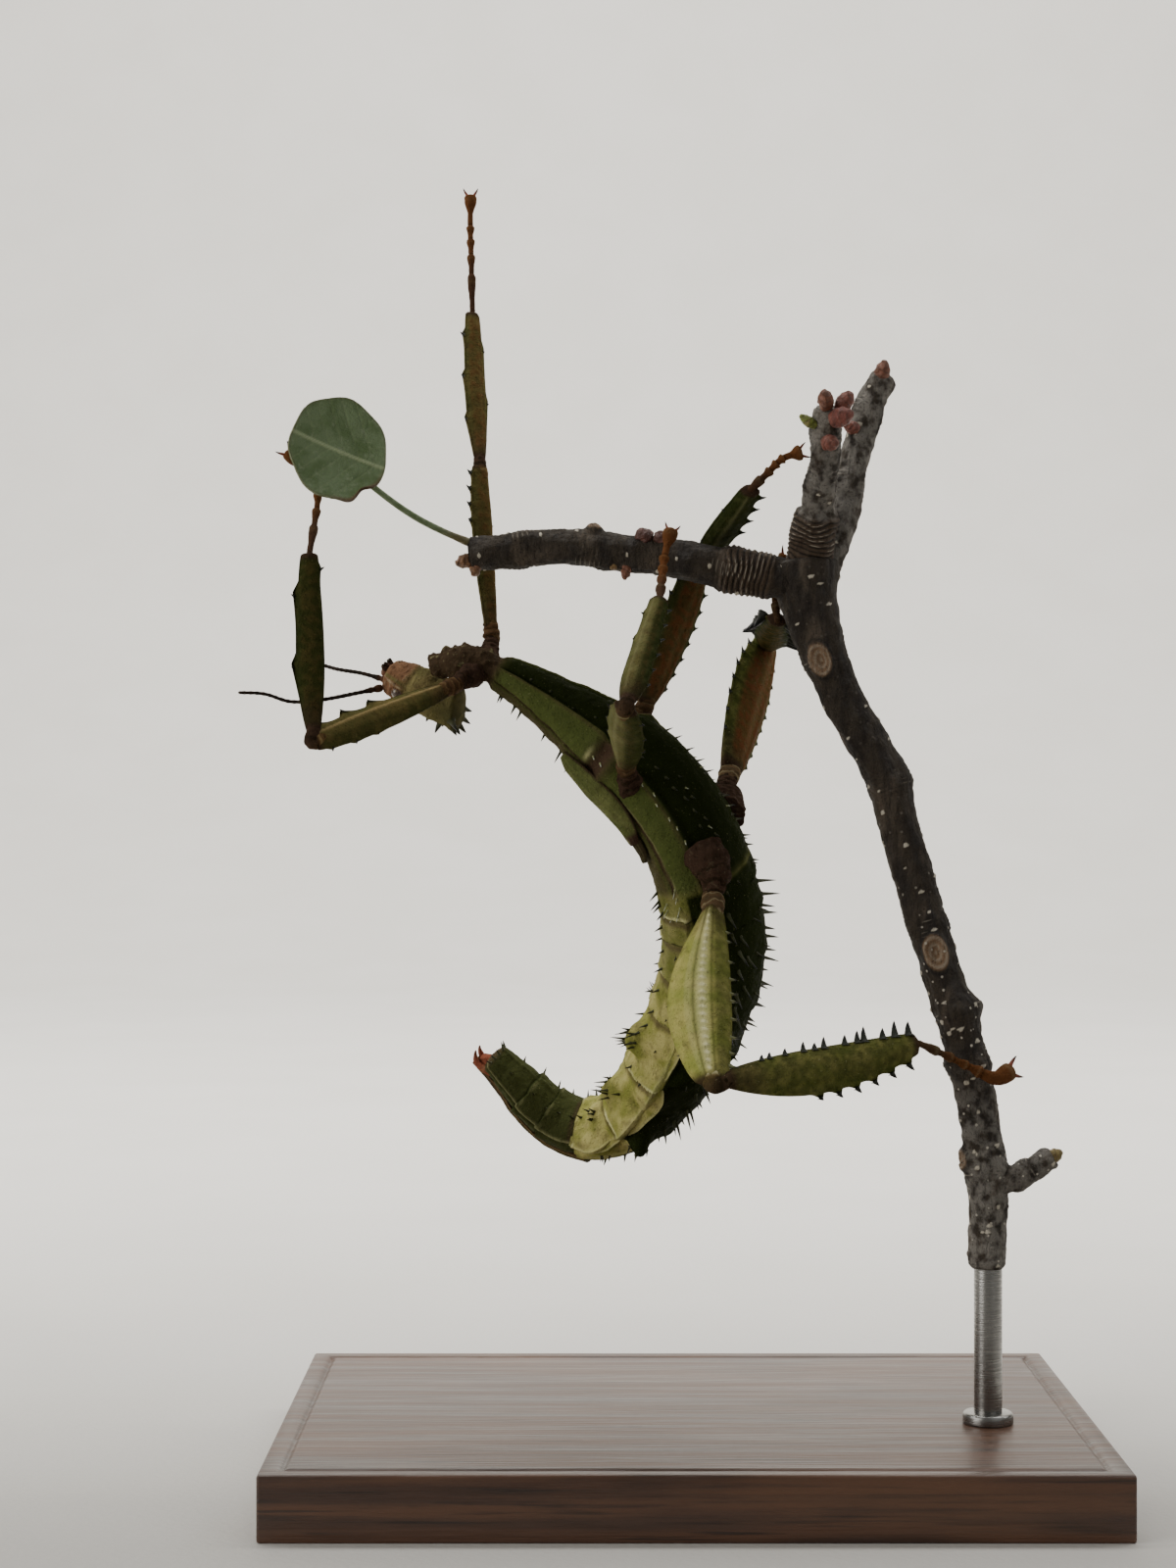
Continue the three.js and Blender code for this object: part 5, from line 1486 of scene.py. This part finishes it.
def twig(name):
    """A twig with knots, growth rings, scars and raised pores."""
    facts = PERCH[name]
    route = Route(facts["route"])
    length = route.length
    wrinkled = WRINKLES.get(name)
    tube = straight_tube(f"{name}_bark", 18, int(length / (0.7 if wrinkled else 1.2)), cuts=3)
    first, last = facts["radius"]
    rng = np.random.default_rng(sum(map(ord, name)))
    uneven = rough_round(tube, length / 3, 1, 2)

    def relief(t, turn):
        lift = np.zeros_like(t)
        marks, tint = blank_marks(t, "dark", "pale", "warm", "grey", "pores")
        for at, height, *facing in facts["knots"]:
            faces = math.radians(facing[0]) if facing else 9 * at
            one_side = 0.5 + 0.5 * np.cos(turn - faces + uneven)
            gap = (t - at) * length
            lift += height * bell(gap, 0, 2.2) * one_side
            for k in range(6):
                groove = bell(gap, 0.7 * k - 1.7 + 0.4 * uneven, 0.16)
                lift -= 0.09 * groove
                tint("dark", 0.5 * groove * step_up(uneven, -0.3, 0.3))
                rim = bell(gap, 0.7 * k - 1.35 + 0.4 * uneven, 0.14)
                tint("pale", 0.45 * rim * step_up(uneven, 0, 0.5))
        lift += 0.15 * np.sin(3 * turn + 20 * t) + 0.12 * uneven
        if name == "perch_stem":
            lift += 1.9 * bell(t * length, 1.5, 4.5) + 0.7 * bell(t * length, 9, 4)
        if wrinkled:
            low, high, swell = wrinkled
            inside = step_up(t, low - 0.03, low) * (1 - step_up(t, high, high + 0.04))
            slant = 5 * uneven + 1.2 * np.sin(turn) + 0.5 * np.sin(2 * turn)
            fold = np.cos(t * length * 2 * math.pi / 0.8 + slant)
            lift += (swell + 0.13 * fold) * inside
            tint("dark", 0.9 * np.clip(-fold, 0, 1) * inside)
            tint("warm", 0.3 * inside)
            tint("pale", 0.6 * step_up(fold, 0.6, 1) * inside * step_up(uneven, -0.4, 0.3))
        radius = first + (last - first) * t
        for at, facing, high, wide in SCARS.get(name, ()):
            across = np.arctan2(np.sin(turn - math.radians(facing)), np.cos(turn - math.radians(facing)))
            near = np.hypot((t - at) * length / high, across * radius / wide)
            inside = 1 - step_up(near, 0.85, 1.05)
            rings = 0.5 + 0.5 * np.cos((near + 0.12 * uneven) * 5 * math.pi)
            lift += 0.75 * bell(near, 0.8, 0.4) - 0.25 * bell(near, 0, 0.35) + 0.06 * rings * inside
            tint("dark", 0.7 * bell(near, 1.15, 0.1))
            tint("warm", 0.9 * inside)
            tint("pale", 0.45 * (0.5 + 0.5 * rings) * inside)
        # larger pores, standing out of the bark
        for _ in range(int(length * PORES.get(name, FEW_PORES))):
            at = rng.uniform(0, 1)
            facing, size = rng.uniform(-math.pi, math.pi), rng.uniform(0.2, 0.36)
            if name == "perch_stem" and rng.uniform() > 0.25 + 0.75 * at:
                continue
            near_s = (t - at) * length
            here = np.abs(near_s) < 1.2
            across = np.arctan2(np.sin(turn[here] - facing), np.cos(turn[here] - facing)) * radius[here]
            spot = 1 - step_up(np.hypot(near_s[here] / (0.8 * size), across / (1.3 * size)), 0.7, 1.3)
            lift[here] += 0.14 * spot
            marks["pale"][here] = np.maximum(marks["pale"][here], spot)
        tint("pores", {"perch_stem": 0.15 + 0.85 * step_up(t, 0.3, 0.75), "perch_stub": 1}.get(name, 0.1))
        tint("grey", {"perch_twig": step_up(t, 0.34, 0.4), "perch_upper": 0.8, "perch_stub": 0.7,
                      "perch_stem": 0.9 * step_up(t, 0.66, 0.85)}.get(name, 0))
        return lift, marks

    kept = {}

    def wall(t, turn):
        lift, kept["marks"] = relief(t, turn)
        radius = first + (last - first) * t + lift
        return route.wall(t, turn, radius * np.maximum(both_ends(t, 0.5 / length), 0.8))

    t, _ = wrap(tube, route.at, wall)
    points = places(tube)
    push_out(tube, route.at(t), 0.2 * rough(points, 1.6) + 0.07 * rough(points, 0.5, 5))
    mark(tube, **kept["marks"])
    return tube


# buds as (foot, towards, length, radius, redness), dark where the redness is below 0
BUDS = (
    ((20.6, -12, 151.6), (0.7, -0.5, 0.2), 3, 1.5, 1),
    ((21.6, -11.4, 153.4), (0.5, -0.4, 0.8), 2.6, 1.3, 0.9),
    ((19.4, -12.2, 153.6), (-0.2, -0.6, 0.8), 2.4, 1.2, 0.8),
    ((19.6, -11.4, 148.4), (0.4, -0.8, -0.2), 2.4, 1.2, 0.9),
    ((17.6, -10.6, 151), (-0.8, -0.3, 0.5), 2.4, 0.8, 0.1),
    ((28.9, 4.4, 160), (0.2, -0.4, 0.9), 2.6, 1.2, 0.8),
    ((24.8, 2.6, 152.2), (-0.9, -0.4, 0.3), 1.9, 1, 0.9),
    ((-8.6, -1.2, 131.8), (-0.2, -0.4, -0.9), 2.4, 0.8, 0.8),
    ((-10.2, -1, 132.2), (-0.6, -0.4, -0.8), 1.4, 0.7, 0.6),
    ((-5.9, -1.2, 135.6), (-0.5, -0.4, 0.7), 1.9, 1.4, -0.9),
    ((-3.8, -1.4, 135.4), (0.2, -0.4, 0.9), 1.5, 1.2, -0.9),
    ((-31.4, -0.4, 132.6), (-0.8, -0.3, -0.2), 2.4, 1.1, 0.7),
    ((-30.6, -0.4, 131.9), (-0.2, -0.5, -0.9), 2, 0.9, 0.7),
    ((51.6, -9.8, 46.9), (0.8, -0.2, 0.5), 1.8, 1, 0.5),
)


def buds():
    """Knobbly buds with their scales, some in clusters."""
    pieces = []
    for foot, towards, length, radius, red in BUDS:
        way = Vector(towards).normalized()
        foot = Vector(foot)
        radii = [(on, radius * share) for on, share in ((0, 0.7), (0.35, 1), (0.7, 0.85), (1, 0.3))]
        bud, t, turn = capsule("bud", (foot - way * 0.6, foot + way * length * 0.5, foot + way * length),
                               radii, 10, 14, 2)
        scale = np.abs(np.sin(t * 3.5 * math.pi + turn)) ** 6
        points = places(bud)
        lumps = rough(points, 0.8, length)
        put(bud, points + (0.2 * lumps - 0.08 * scale)[:, None] * np.array(way.orthogonal()))
        mark(bud, warm=abs(red), dark=np.maximum(0.6 * scale, 0.5 * step_up(-lumps, 0, 0.4)) + (red < 0),
             pale=0.4 * step_up(lumps, 0.1, 0.5))
        pieces.append(bud)
    return join(pieces, "buds")


def leaf():
    """A round leaf with a raised midrib and side veins, its lower edge browned and chewed."""
    blade_sheet, x, y = sheet("leaf_blade", 60, 60)
    y = y * 2 - 1
    a = x * np.sqrt(1 - y ** 2 / 2)
    b = y * np.sqrt(1 - x ** 2 / 2)
    out = np.hypot(a, b)
    face = heading(LEAF["turn"])
    up = Vector((-0.18, 0, 1))
    up = (up - up.dot(face) * face).normalized()
    side = up.cross(face)
    bearing = np.arctan2(b, a)
    chewed = 0.13 * bell(bearing, -1.3, 0.55) * (0.6 + 0.4 * np.sin(9 * bearing)) * out ** 6
    wave = 0.02 * np.sin(7 * bearing) * out ** 3
    a, b = a * (1 - chewed + wave), b * (1 - chewed + wave)
    # the midrib runs from the stalk across the leaf
    rib_way = np.array((-0.45, 0.25))
    rib_way /= np.linalg.norm(rib_way)
    along = a * rib_way[0] + b * rib_way[1]
    across = -a * rib_way[1] + b * rib_way[0]
    rib = bell(across, 0, 0.03) * step_up(along, -1.1, -0.9)
    veins = np.zeros_like(a)
    for k in range(5):
        for sign in (1, -1):
            start = -0.8 + 0.32 * k
            line = along - start - 0.75 * np.abs(across)
            veins = np.maximum(veins, bell(line, 0, 0.025) * (across * sign > 0))
    dish = 1.1 * out ** 2 - 0.5 * a ** 2
    lift = dish + 0.14 * rib - 0.1 * veins * (1 - rib)
    points = (np.array(LEAF["centre"]) + np.outer(a * LEAF["breadth"], side)
              + np.outer(b * LEAF["reach"], up) + np.outer(lift, face))
    put(blade_sheet, points + 0.12 * rough(points, 2.5)[:, None] * np.array(face))
    thicken(blade_sheet, 0.4)
    edge = step_up(out, 0.93, 1)
    brown = np.maximum(bell(bearing, -1.3, 0.7) * step_up(out, 0.88, 0.99), 0.35 * edge)
    mark(blade_sheet, pale=np.maximum(0.9 * rib, 0.3 * veins), dark=0.6 * brown * edge, warm=brown)
    stalk, t, _ = capsule("stalk", STALK, ((0, 0.7), (0.15, 0.5), (1, 0.45)), 10, 30, 1)
    mark(stalk, pale=0.2, dark=0, warm=0.6 * (1 - step_up(t, 0.1, 0.4)))
    return join([blade_sheet, stalk], "leaf_whole")


# border round the top of the base, and the groove inside it: width and depth
BASE_BORDER = 2.6
BASE_GROOVE = (0.5, 0.6)
ROD_RADIUS = 2
COLLAR = {"radius": 3.6, "depth": 1.8, "rise": 0.7}


def stand_base():
    """A stained wooden block with a rounded edge and a groove round its top."""
    low, high = (Vector(corner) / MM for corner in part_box("stand_base"))
    width, depth = BASE_GROOVE
    base = fresh(bpy.ops.mesh.primitive_cube_add, "stand_plinth", size=1)
    edit_all()
    bpy.ops.transform.resize(value=high - low)
    bpy.ops.transform.translate(value=(high + low) / 2)
    pick(base, "faces", lambda face: face.normal.z > 0.9)
    bpy.ops.mesh.inset(thickness=BASE_BORDER)
    for step in (-depth, depth):
        bpy.ops.mesh.inset(thickness=width)
        bpy.ops.transform.translate(value=(0, 0, step))
    bpy.ops.object.mode_set(mode="OBJECT")
    bevel(base, 0.9, 4, sharpest=50)
    return base


def stand_rod():
    """A steel rod, turned, with a low collar where it enters the wood."""
    low, high = (Vector(corner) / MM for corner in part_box("stand_rod"))
    middle = (low + high) / 2
    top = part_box("stand_base")[1][2] / MM
    rod = fresh(bpy.ops.mesh.primitive_cylinder_add, "stand_rod", vertices=48, radius=ROD_RADIUS,
                depth=high.z - low.z, location=middle)
    bevel(rod, 0.25, 3)
    collar = fresh(bpy.ops.mesh.primitive_cylinder_add, "stand_collar", vertices=48,
                   radius=COLLAR["radius"], depth=COLLAR["depth"],
                   location=(middle.x, middle.y, top + COLLAR["rise"]))
    bevel(collar, 0.5, 4)
    return join([rod, collar], "stand_post")


# ---- finishes

def bark_paint(colour):
    """Dark bark, paler and greyer where it is old, with pores."""
    paint = Paint("Bark", colour, 0.75)
    paint.over("#29231e", paint.clouds(2.2, 0.4, 0.6, stretch=(1, 1, 0.3)), 0.85)
    paint.over("#675b4d", paint.clouds(3.4, 0.52, 0.7, stretch=(1, 1, 0.25)), 0.6)
    paint.over("#8f8a82", paint.times(paint.layer_of("grey"), paint.clouds(1.6, 0.35, 0.6)), 0.75)
    paint.over("#8d6f52", "warm", 0.75)
    paint.over("#17120e", "dark", 0.9)
    paint.over("#201a16", paint.clouds(0.35, 0.56, 0.7), 0.6)
    pores = paint.times(paint.grains(1.5, 0.1, 0.17), paint.layer_of("pores"))
    paint.over("#d6cebf", pores, 0.9)
    paint.over("#cfc6b4", paint.layer_of("pale", 0.2, 0.8), 0.95)
    paint.shine(paint.clouds(1.5), 0.85, 0.65)
    paint.same(Specular_IOR_Level=0.3)
    paint.relief((paint.clouds(0.9, stretch=(1, 1, 0.35)), 0.3), (pores, 0.1),
                 (paint.clouds(0.22), 0.1))
    return paint.material


def bud_paint():
    """Green to reddish buds with dark scales."""
    paint = Paint("Bud", "#7f8a3a", 0.5)
    paint.over("#7e4438", "warm")
    paint.over("#2c1612", "dark", 0.7)
    paint.over("#b98272", "pale", 0.6)
    paint.over("#4a3526", paint.clouds(0.5, 0.5, 0.7), 0.4)
    paint.relief((paint.clouds(0.4), 0.12))
    return paint.material


def leaf_paint(colour):
    """A dull green leaf with a pale midrib and brown edge."""
    paint = Paint("Leaf", colour, 0.6)
    paint.over("#5f7349", paint.clouds(3, 0.4, 0.62))
    paint.over("#8a9678", paint.clouds(0.8, 0.55, 0.72), 0.5)
    paint.over("#a9b58c", "pale")
    paint.over("#6c5236", "warm")
    paint.over("#33251a", "dark")
    paint.shine(paint.clouds(0.7), 0.65, 0.5)
    paint.relief((paint.clouds(0.5), 0.08), (paint.clouds(0.18), 0.03))
    paint.same(Specular_IOR_Level=0.35, Subsurface_Weight=0.1,
               Subsurface_Radius=(0.8 * MM, 1.2 * MM, 0.4 * MM))
    return paint.material


def thorn_paint(name, foot, tip, gloss=0.35):
    """Horn, from the colour of its foot to that of its tip."""
    paint = Paint(name, foot, gloss)
    paint.over(tip, paint.layer_of("tip", 0.25, 0.85))
    paint.over("#000000", paint.clouds(0.4, 0.5, 0.75), 0.25)
    paint.shine(paint.layer_of("tip", 0.2, 0.9), gloss + 0.15, gloss - 0.07)
    paint.relief((paint.clouds(0.25), 0.03))
    paint.same(Specular_IOR_Level=0.2)
    return paint.material


def eye_paint():
    """A brown, mottled and finely faceted eye."""
    paint = Paint("Eye", "#6b4a35", 0.16)
    facets = paint.add("TexVoronoi", "Distance", {"Vector": paint.coordinates, "Scale": 1 / (0.09 * MM)},
                       feature="DISTANCE_TO_EDGE")
    cells = paint.ramp(facets, 0, 0.12)
    paint.over("#3a2a20", "dark", 0.8)
    paint.over("#b5a07e", paint.clouds(0.45, 0.5, 0.65), 0.5)
    paint.over("#c9b48d", "pale", 0.7)
    paint.relief((cells, 0.02))
    paint.same(Coat_Weight=0.5, Coat_Roughness=0.08)
    return paint.material


def wood_paint(colour):
    """Dark stained wood under thin varnish."""
    paint = Paint("Stained_wood", colour, 0.42)
    grain = paint.clouds(2.4, 0.35, 0.65, detail=8, stretch=(0.05, 1, 1))
    paint.over("#5a3a25", grain, 0.85)
    paint.over("#20130c", paint.clouds(0.7, 0.52, 0.7, detail=6, stretch=(0.03, 1, 1)), 0.8)
    paint.over("#6e4a30", paint.clouds(14, 0.45, 0.7, stretch=(0.4, 1, 1)), 0.35)
    paint.shine(grain, 0.36, 0.5)
    paint.relief((paint.clouds(0.5, 0.4, 0.7, detail=6, stretch=(0.04, 1, 1)), 0.06))
    paint.same(Coat_Weight=0.25, Coat_Roughness=0.25)
    return paint.material


def steel_paint():
    """Brushed steel, drawn out round the rod."""
    paint = Paint("Brushed_steel", "#9c9b98", 0.3)
    paint.same(Metallic=1)
    lines = paint.clouds(0.3, 0.35, 0.65, detail=6, stretch=(0.08, 0.08, 1.6))
    paint.over("#7d7c7a", lines, 0.6)
    paint.shine(lines, 0.24, 0.38)
    paint.relief((lines, 0.012))
    return paint.material


def floor_paint():
    """Plain pale paper."""
    paint = Paint("Studio_paper", "#cfccc6", 0.85)
    paint.over("#c9c6bf", paint.clouds(60), 0.5)
    paint.relief((paint.clouds(1.2), 0.04))
    return paint.material


# ---- settings

def share_of(name, description, default, low, high):
    """A factor that the user may change."""
    return bpy.props.FloatProperty(name=name, description=description, default=default, min=low,
                                   max=high, subtype="FACTOR")


def colour_of(name, colour):
    """A piece's main colour that the user may change."""
    return bpy.props.FloatVectorProperty(name=name, description=f"Main colour: {name.lower()}", min=0,
                                         max=1, default=rgb(colour)[:3], subtype="COLOR")


def power_of(name, default):
    """A lamp's power that the user may change."""
    return bpy.props.FloatProperty(name=name, description=f"Power of the {name.lower()}", min=0,
                                   default=default, subtype="POWER", unit="POWER")


class InsectSkinSettings(bpy.types.PropertyGroup):
    """Look of the insect's skin."""
    speckle: share_of("Speckle", "How strong the pale and dark marks are", 1, 0, 1)
    gloss: share_of("Roughness", "Roughness of the waxy skin", 0.62, 0.2, 1)
    body: colour_of("Thorax and abdomen", "#aca467")
    head: colour_of("Head", "#7a7049")
    wings: colour_of("Wing covers", "#6b6f42")
    fore: colour_of("Fore legs", "#776a40")
    mid: colour_of("Middle legs", "#6c6b44")
    hind: colour_of("Hind legs", "#b3ac66")


class InsectSpineSettings(bpy.types.PropertyGroup):
    """Size of the spines."""
    length: share_of("Length", "Length of the spines against life", 1, 0.5, 1.5)
    girth: share_of("Girth", "Thickness of the spines against life", 1, 0.5, 1.5)


class InsectPerchSettings(bpy.types.PropertyGroup):
    """Colours of the twigs and the stand."""
    bark: colour_of("Bark", "#3d352b")
    leaf: colour_of("Leaf", "#72845f")
    wood: colour_of("Stained base", "#3b2519")


class InsectStudioSettings(bpy.types.PropertyGroup):
    """Light and backdrop."""
    key: power_of("Key light", 3.6)
    fill: power_of("Fill light", 0.8)
    backdrop: power_of("Backdrop light", 60)
    sky: bpy.props.FloatProperty(name="Surrounding light", default=0.26, min=0,
                                 description="Strength of the even light from all round")
    lens: bpy.props.FloatProperty(name="Lens", description="Focal length of the camera",
                                  default=CAMERA_LENS, min=10, unit="CAMERA")


# ---- operators

class InsectPiece:
    """What the operators that build a piece share."""
    bl_options = {"REGISTER", "UNDO"}


class INSECT_OT_body(InsectPiece, bpy.types.Operator):
    """Builds the thorax and abdomen as one skin, with their spines"""
    bl_idname = "insect.body"
    bl_label = "Body"

    def execute(self, context):
        look, spines = context.scene.insect_skin, context.scene.insect_spines
        # the body's dark colour is the belly's own near-black green, deepened as painted shade; its deep
        # colour also paints the hind femur's shade on the front of the abdomen
        paint = cuticle("Body_cuticle", look, look.body, "#80823f", deep="#3d4424", warm="#47372b",
                        dark="#20260f")
        settle(body_skin(), paint, [f"abdomen_{k}" for k in range(2, 11)]
               + ["prothorax", "mesothorax", "metathorax"])
        dark, pale = body_thorn_places()
        settle(body_thorns(spines, dark, "body_thorns"),
               thorn_paint("Body_spine", "#3b3d22", "#0b0b08"))
        settle(body_thorns(spines, pale, "body_thorns_pale"),
               thorn_paint("Pale_spine", "#8e9166", "#d3d6c4"))
        return {"FINISHED"}


class INSECT_OT_head(InsectPiece, bpy.types.Operator):
    """Builds the head with its crown spines, eyes, mouth and antennae"""
    bl_idname = "insect.head"
    bl_label = "Head"

    def execute(self, context):
        look = context.scene.insect_skin
        paint = cuticle("Head_cuticle", look, look.head, "#5f5936", deep="#45432a", pale="#b0a888",
                        dark="#1c120c", red="#7c5843")
        settle(head_skin(), paint, ["head"])
        settle(crown_thorns(context.scene.insect_spines),
               thorn_paint("Head_spine", "#3f4026", "#12110d"))
        for eye, side in eyes():
            settle(eye, eye_paint(), [f"eye_{side}"])
        paint = cuticle("Mouth_cuticle", look, "#5c4234", "#4b3428", pale="#a08a78", red="#6e4c3c")
        settle(mouth(), paint, ["mouthparts"])
        for side in ("left", "right"):
            paint = cuticle(f"Antenna_{side}_cuticle", look, "#2b2520", "#1f1a16", dark="#0f0c0a",
                            warm="#54392a")
            settle(antenna(side), paint, [f"antenna_{side}"])
        return {"FINISHED"}


class INSECT_OT_wings(InsectPiece, bpy.types.Operator):
    """Builds the two wing covers"""
    bl_idname = "insect.wings"
    bl_label = "Wing covers"

    def execute(self, context):
        look = context.scene.insect_skin
        for side in ("left", "right"):
            paint = cuticle(f"Wing_{side}_cuticle", look, look.wings, "#565c33", pale="#a9ad80")
            settle(wing_cover(side), paint, [f"tegmen_{side}"], smooth=40)
        return {"FINISHED"}


class INSECT_OT_tail(InsectPiece, bpy.types.Operator):
    """Builds the plate below the tail and the two cerci"""
    bl_idname = "insect.tail"
    bl_label = "Tail"

    def execute(self, context):
        look = context.scene.insect_skin
        paint = cuticle("Tail_plate_cuticle", look, "#565032", "#46471f", pale="#a8946e")
        settle(tail_plate(), paint, ["operculum"], smooth=40)
        paint = cuticle("Cerci_cuticle", look, "#7d4a36", "#693a2a", red="#8a4f3c")
        settle(tail_feelers(), paint, ["cerci"])
        return {"FINISHED"}


# mottle and pale marks of each pair of legs
LEG_TINTS = {"fore": ("#5d5a34", "#a58f62"), "mid": ("#585a35", "#98956c"),
             "hind": ("#95994e", "#dbd6a6")}


class INSECT_OT_legs(InsectPiece, bpy.types.Operator):
    """Builds the six legs with their spines and claws"""
    bl_idname = "insect.legs"
    bl_label = "Legs"

    def execute(self, context):
        look = context.scene.insect_skin
        for name in LEGS:
            pair = name.split("_")[0]
            mottle, pale = LEG_TINTS[pair]
            paint = cuticle(f"Leg_{name}_cuticle", look, getattr(look, pair), mottle, pale=pale)
            parts = [f"{part}_{name}" for part in ("coxa", "femur", "tibia", "tarsus")]
            settle(leg_skin(name), paint, parts, smooth=40)
            for piece in ("femur", "tibia"):
                pale_piece = name == "hind_right" and piece == "femur"
                foot, tip = ("#7d7f58", "#1c1a14") if pale_piece else ("#25281f", "#0b0c0e")
                settle(leg_thorns(name, piece, context.scene.insect_spines),
                       thorn_paint(f"Spine_{piece}_{name}", foot, tip))
            settle(claws(name), thorn_paint(f"Claw_{name}", "#8a4530", "#1c100c", 0.28))
        return {"FINISHED"}


class INSECT_OT_perch(InsectPiece, bpy.types.Operator):
    """Builds the twigs, their buds and the leaf"""
    bl_idname = "insect.perch"
    bl_label = "Perch"

    def execute(self, context):
        colours = context.scene.insect_perch
        for name in PERCH:
            settle(twig(name), bark_paint(colours.bark), [name])
        settle(buds(), bud_paint())
        settle(leaf(), leaf_paint(colours.leaf), ["perch_leaf"], smooth=60)
        return {"FINISHED"}


class INSECT_OT_stand(InsectPiece, bpy.types.Operator):
    """Builds the display stand"""
    bl_idname = "insect.stand"
    bl_label = "Stand"

    def execute(self, context):
        paint = wood_paint(context.scene.insect_perch.wood)
        settle(stand_base(), paint, ["stand_base"], smooth=35)
        settle(stand_rod(), steel_paint(), ["stand_rod"], smooth=35)
        return {"FINISHED"}


def area_light(name, place, aim, size, power, colour):
    """A square soft light at a place, aimed at a point, both in metres."""
    bpy.ops.object.light_add(type="AREA", location=place)
    light = bpy.context.object
    light.name = name
    light.data.size = size
    light.data.energy = power
    light.data.color = colour
    light.rotation_euler = (Vector(aim) - Vector(place)).to_track_quat("-Z", "Y").to_euler()


class INSECT_OT_studio(InsectPiece, bpy.types.Operator):
    """Builds the backdrop, lights and camera"""
    bl_idname = "insect.studio"
    bl_label = "Studio"

    def execute(self, context):
        scene = context.scene
        studio = scene.insect_studio
        paper = fresh(bpy.ops.mesh.primitive_plane_add, "studio_paper", size=4, location=(0, -0.2, 0))
        edit_all()
        pick(paper, "edges", lambda edge: all(vert.co.y > 1 for vert in edge.verts))
        extrude(2.4)
        bpy.ops.object.mode_set(mode="OBJECT")
        bevel(paper, 0.9, 24)
        bpy.ops.object.shade_smooth()
        paper.data.materials.append(floor_paint())

        aim = (0, 0, 0.1)
        area_light("Key", (-0.75, -0.4, 0.3), aim, 0.5, studio.key, (1, 0.98, 0.94))
        area_light("Fill", (0.5, -0.6, 0.5), aim, 0.7, studio.fill, (0.95, 0.98, 1))
        area_light("Backdrop", (0, 0.35, 1.1), (0, 1.7, 0.5), 1.6, studio.backdrop, (1, 0.99, 0.97))
        world = bpy.data.worlds.new("Studio_world")
        world.use_nodes = True
        sky = world.node_tree.nodes["Background"]
        sky.inputs["Color"].default_value = rgb("#dedcd7")
        sky.inputs["Strength"].default_value = studio.sky
        scene.world = world

        bpy.ops.object.camera_add(location=Vector(CAMERA_PLACE) * MM, rotation=(math.pi / 2, 0, 0))
        camera = bpy.context.object
        camera.name = "Camera"
        camera.data.sensor_fit = "VERTICAL"
        camera.data.sensor_height = 36
        camera.data.lens = studio.lens
        camera.data.clip_start, camera.data.clip_end = 0.01, 20
        scene.camera = camera
        return {"FINISHED"}


OPERATORS = (INSECT_OT_body, INSECT_OT_head, INSECT_OT_wings, INSECT_OT_tail, INSECT_OT_legs,
             INSECT_OT_perch, INSECT_OT_stand, INSECT_OT_studio)


class INSECT_PT_panel(bpy.types.Panel):
    """Sidebar panel with a button for each piece"""
    bl_idname = "INSECT_PT_panel"
    bl_label = "Stick Insect"
    bl_space_type = "VIEW_3D"
    bl_region_type = "UI"
    bl_category = "Insect"

    def draw(self, context):
        for group in SETTINGS:
            settings = getattr(context.scene, group)
            for name in settings.bl_rna.properties.keys():
                if name not in ("rna_type", "name"):
                    self.layout.prop(settings, name)
        for operator in OPERATORS:
            self.layout.operator(operator.bl_idname)


SETTINGS = {"insect_skin": InsectSkinSettings, "insect_spines": InsectSpineSettings,
            "insect_perch": InsectPerchSettings, "insect_studio": InsectStudioSettings}


def register():
    for name, group in SETTINGS.items():
        bpy.utils.register_class(group)
        setattr(bpy.types.Scene, name, bpy.props.PointerProperty(type=group))
    for operator in OPERATORS:
        bpy.utils.register_class(operator)
    bpy.utils.register_class(INSECT_PT_panel)


def unregister():
    bpy.utils.unregister_class(INSECT_PT_panel)
    for operator in reversed(OPERATORS):
        bpy.utils.unregister_class(operator)
    for name, group in SETTINGS.items():
        delattr(bpy.types.Scene, name)
        bpy.utils.unregister_class(group)


def main():
    register()
    for operator in OPERATORS:
        getattr(bpy.ops.insect, operator.bl_idname.split(".")[1])()


if __name__ == "__main__":
    main()
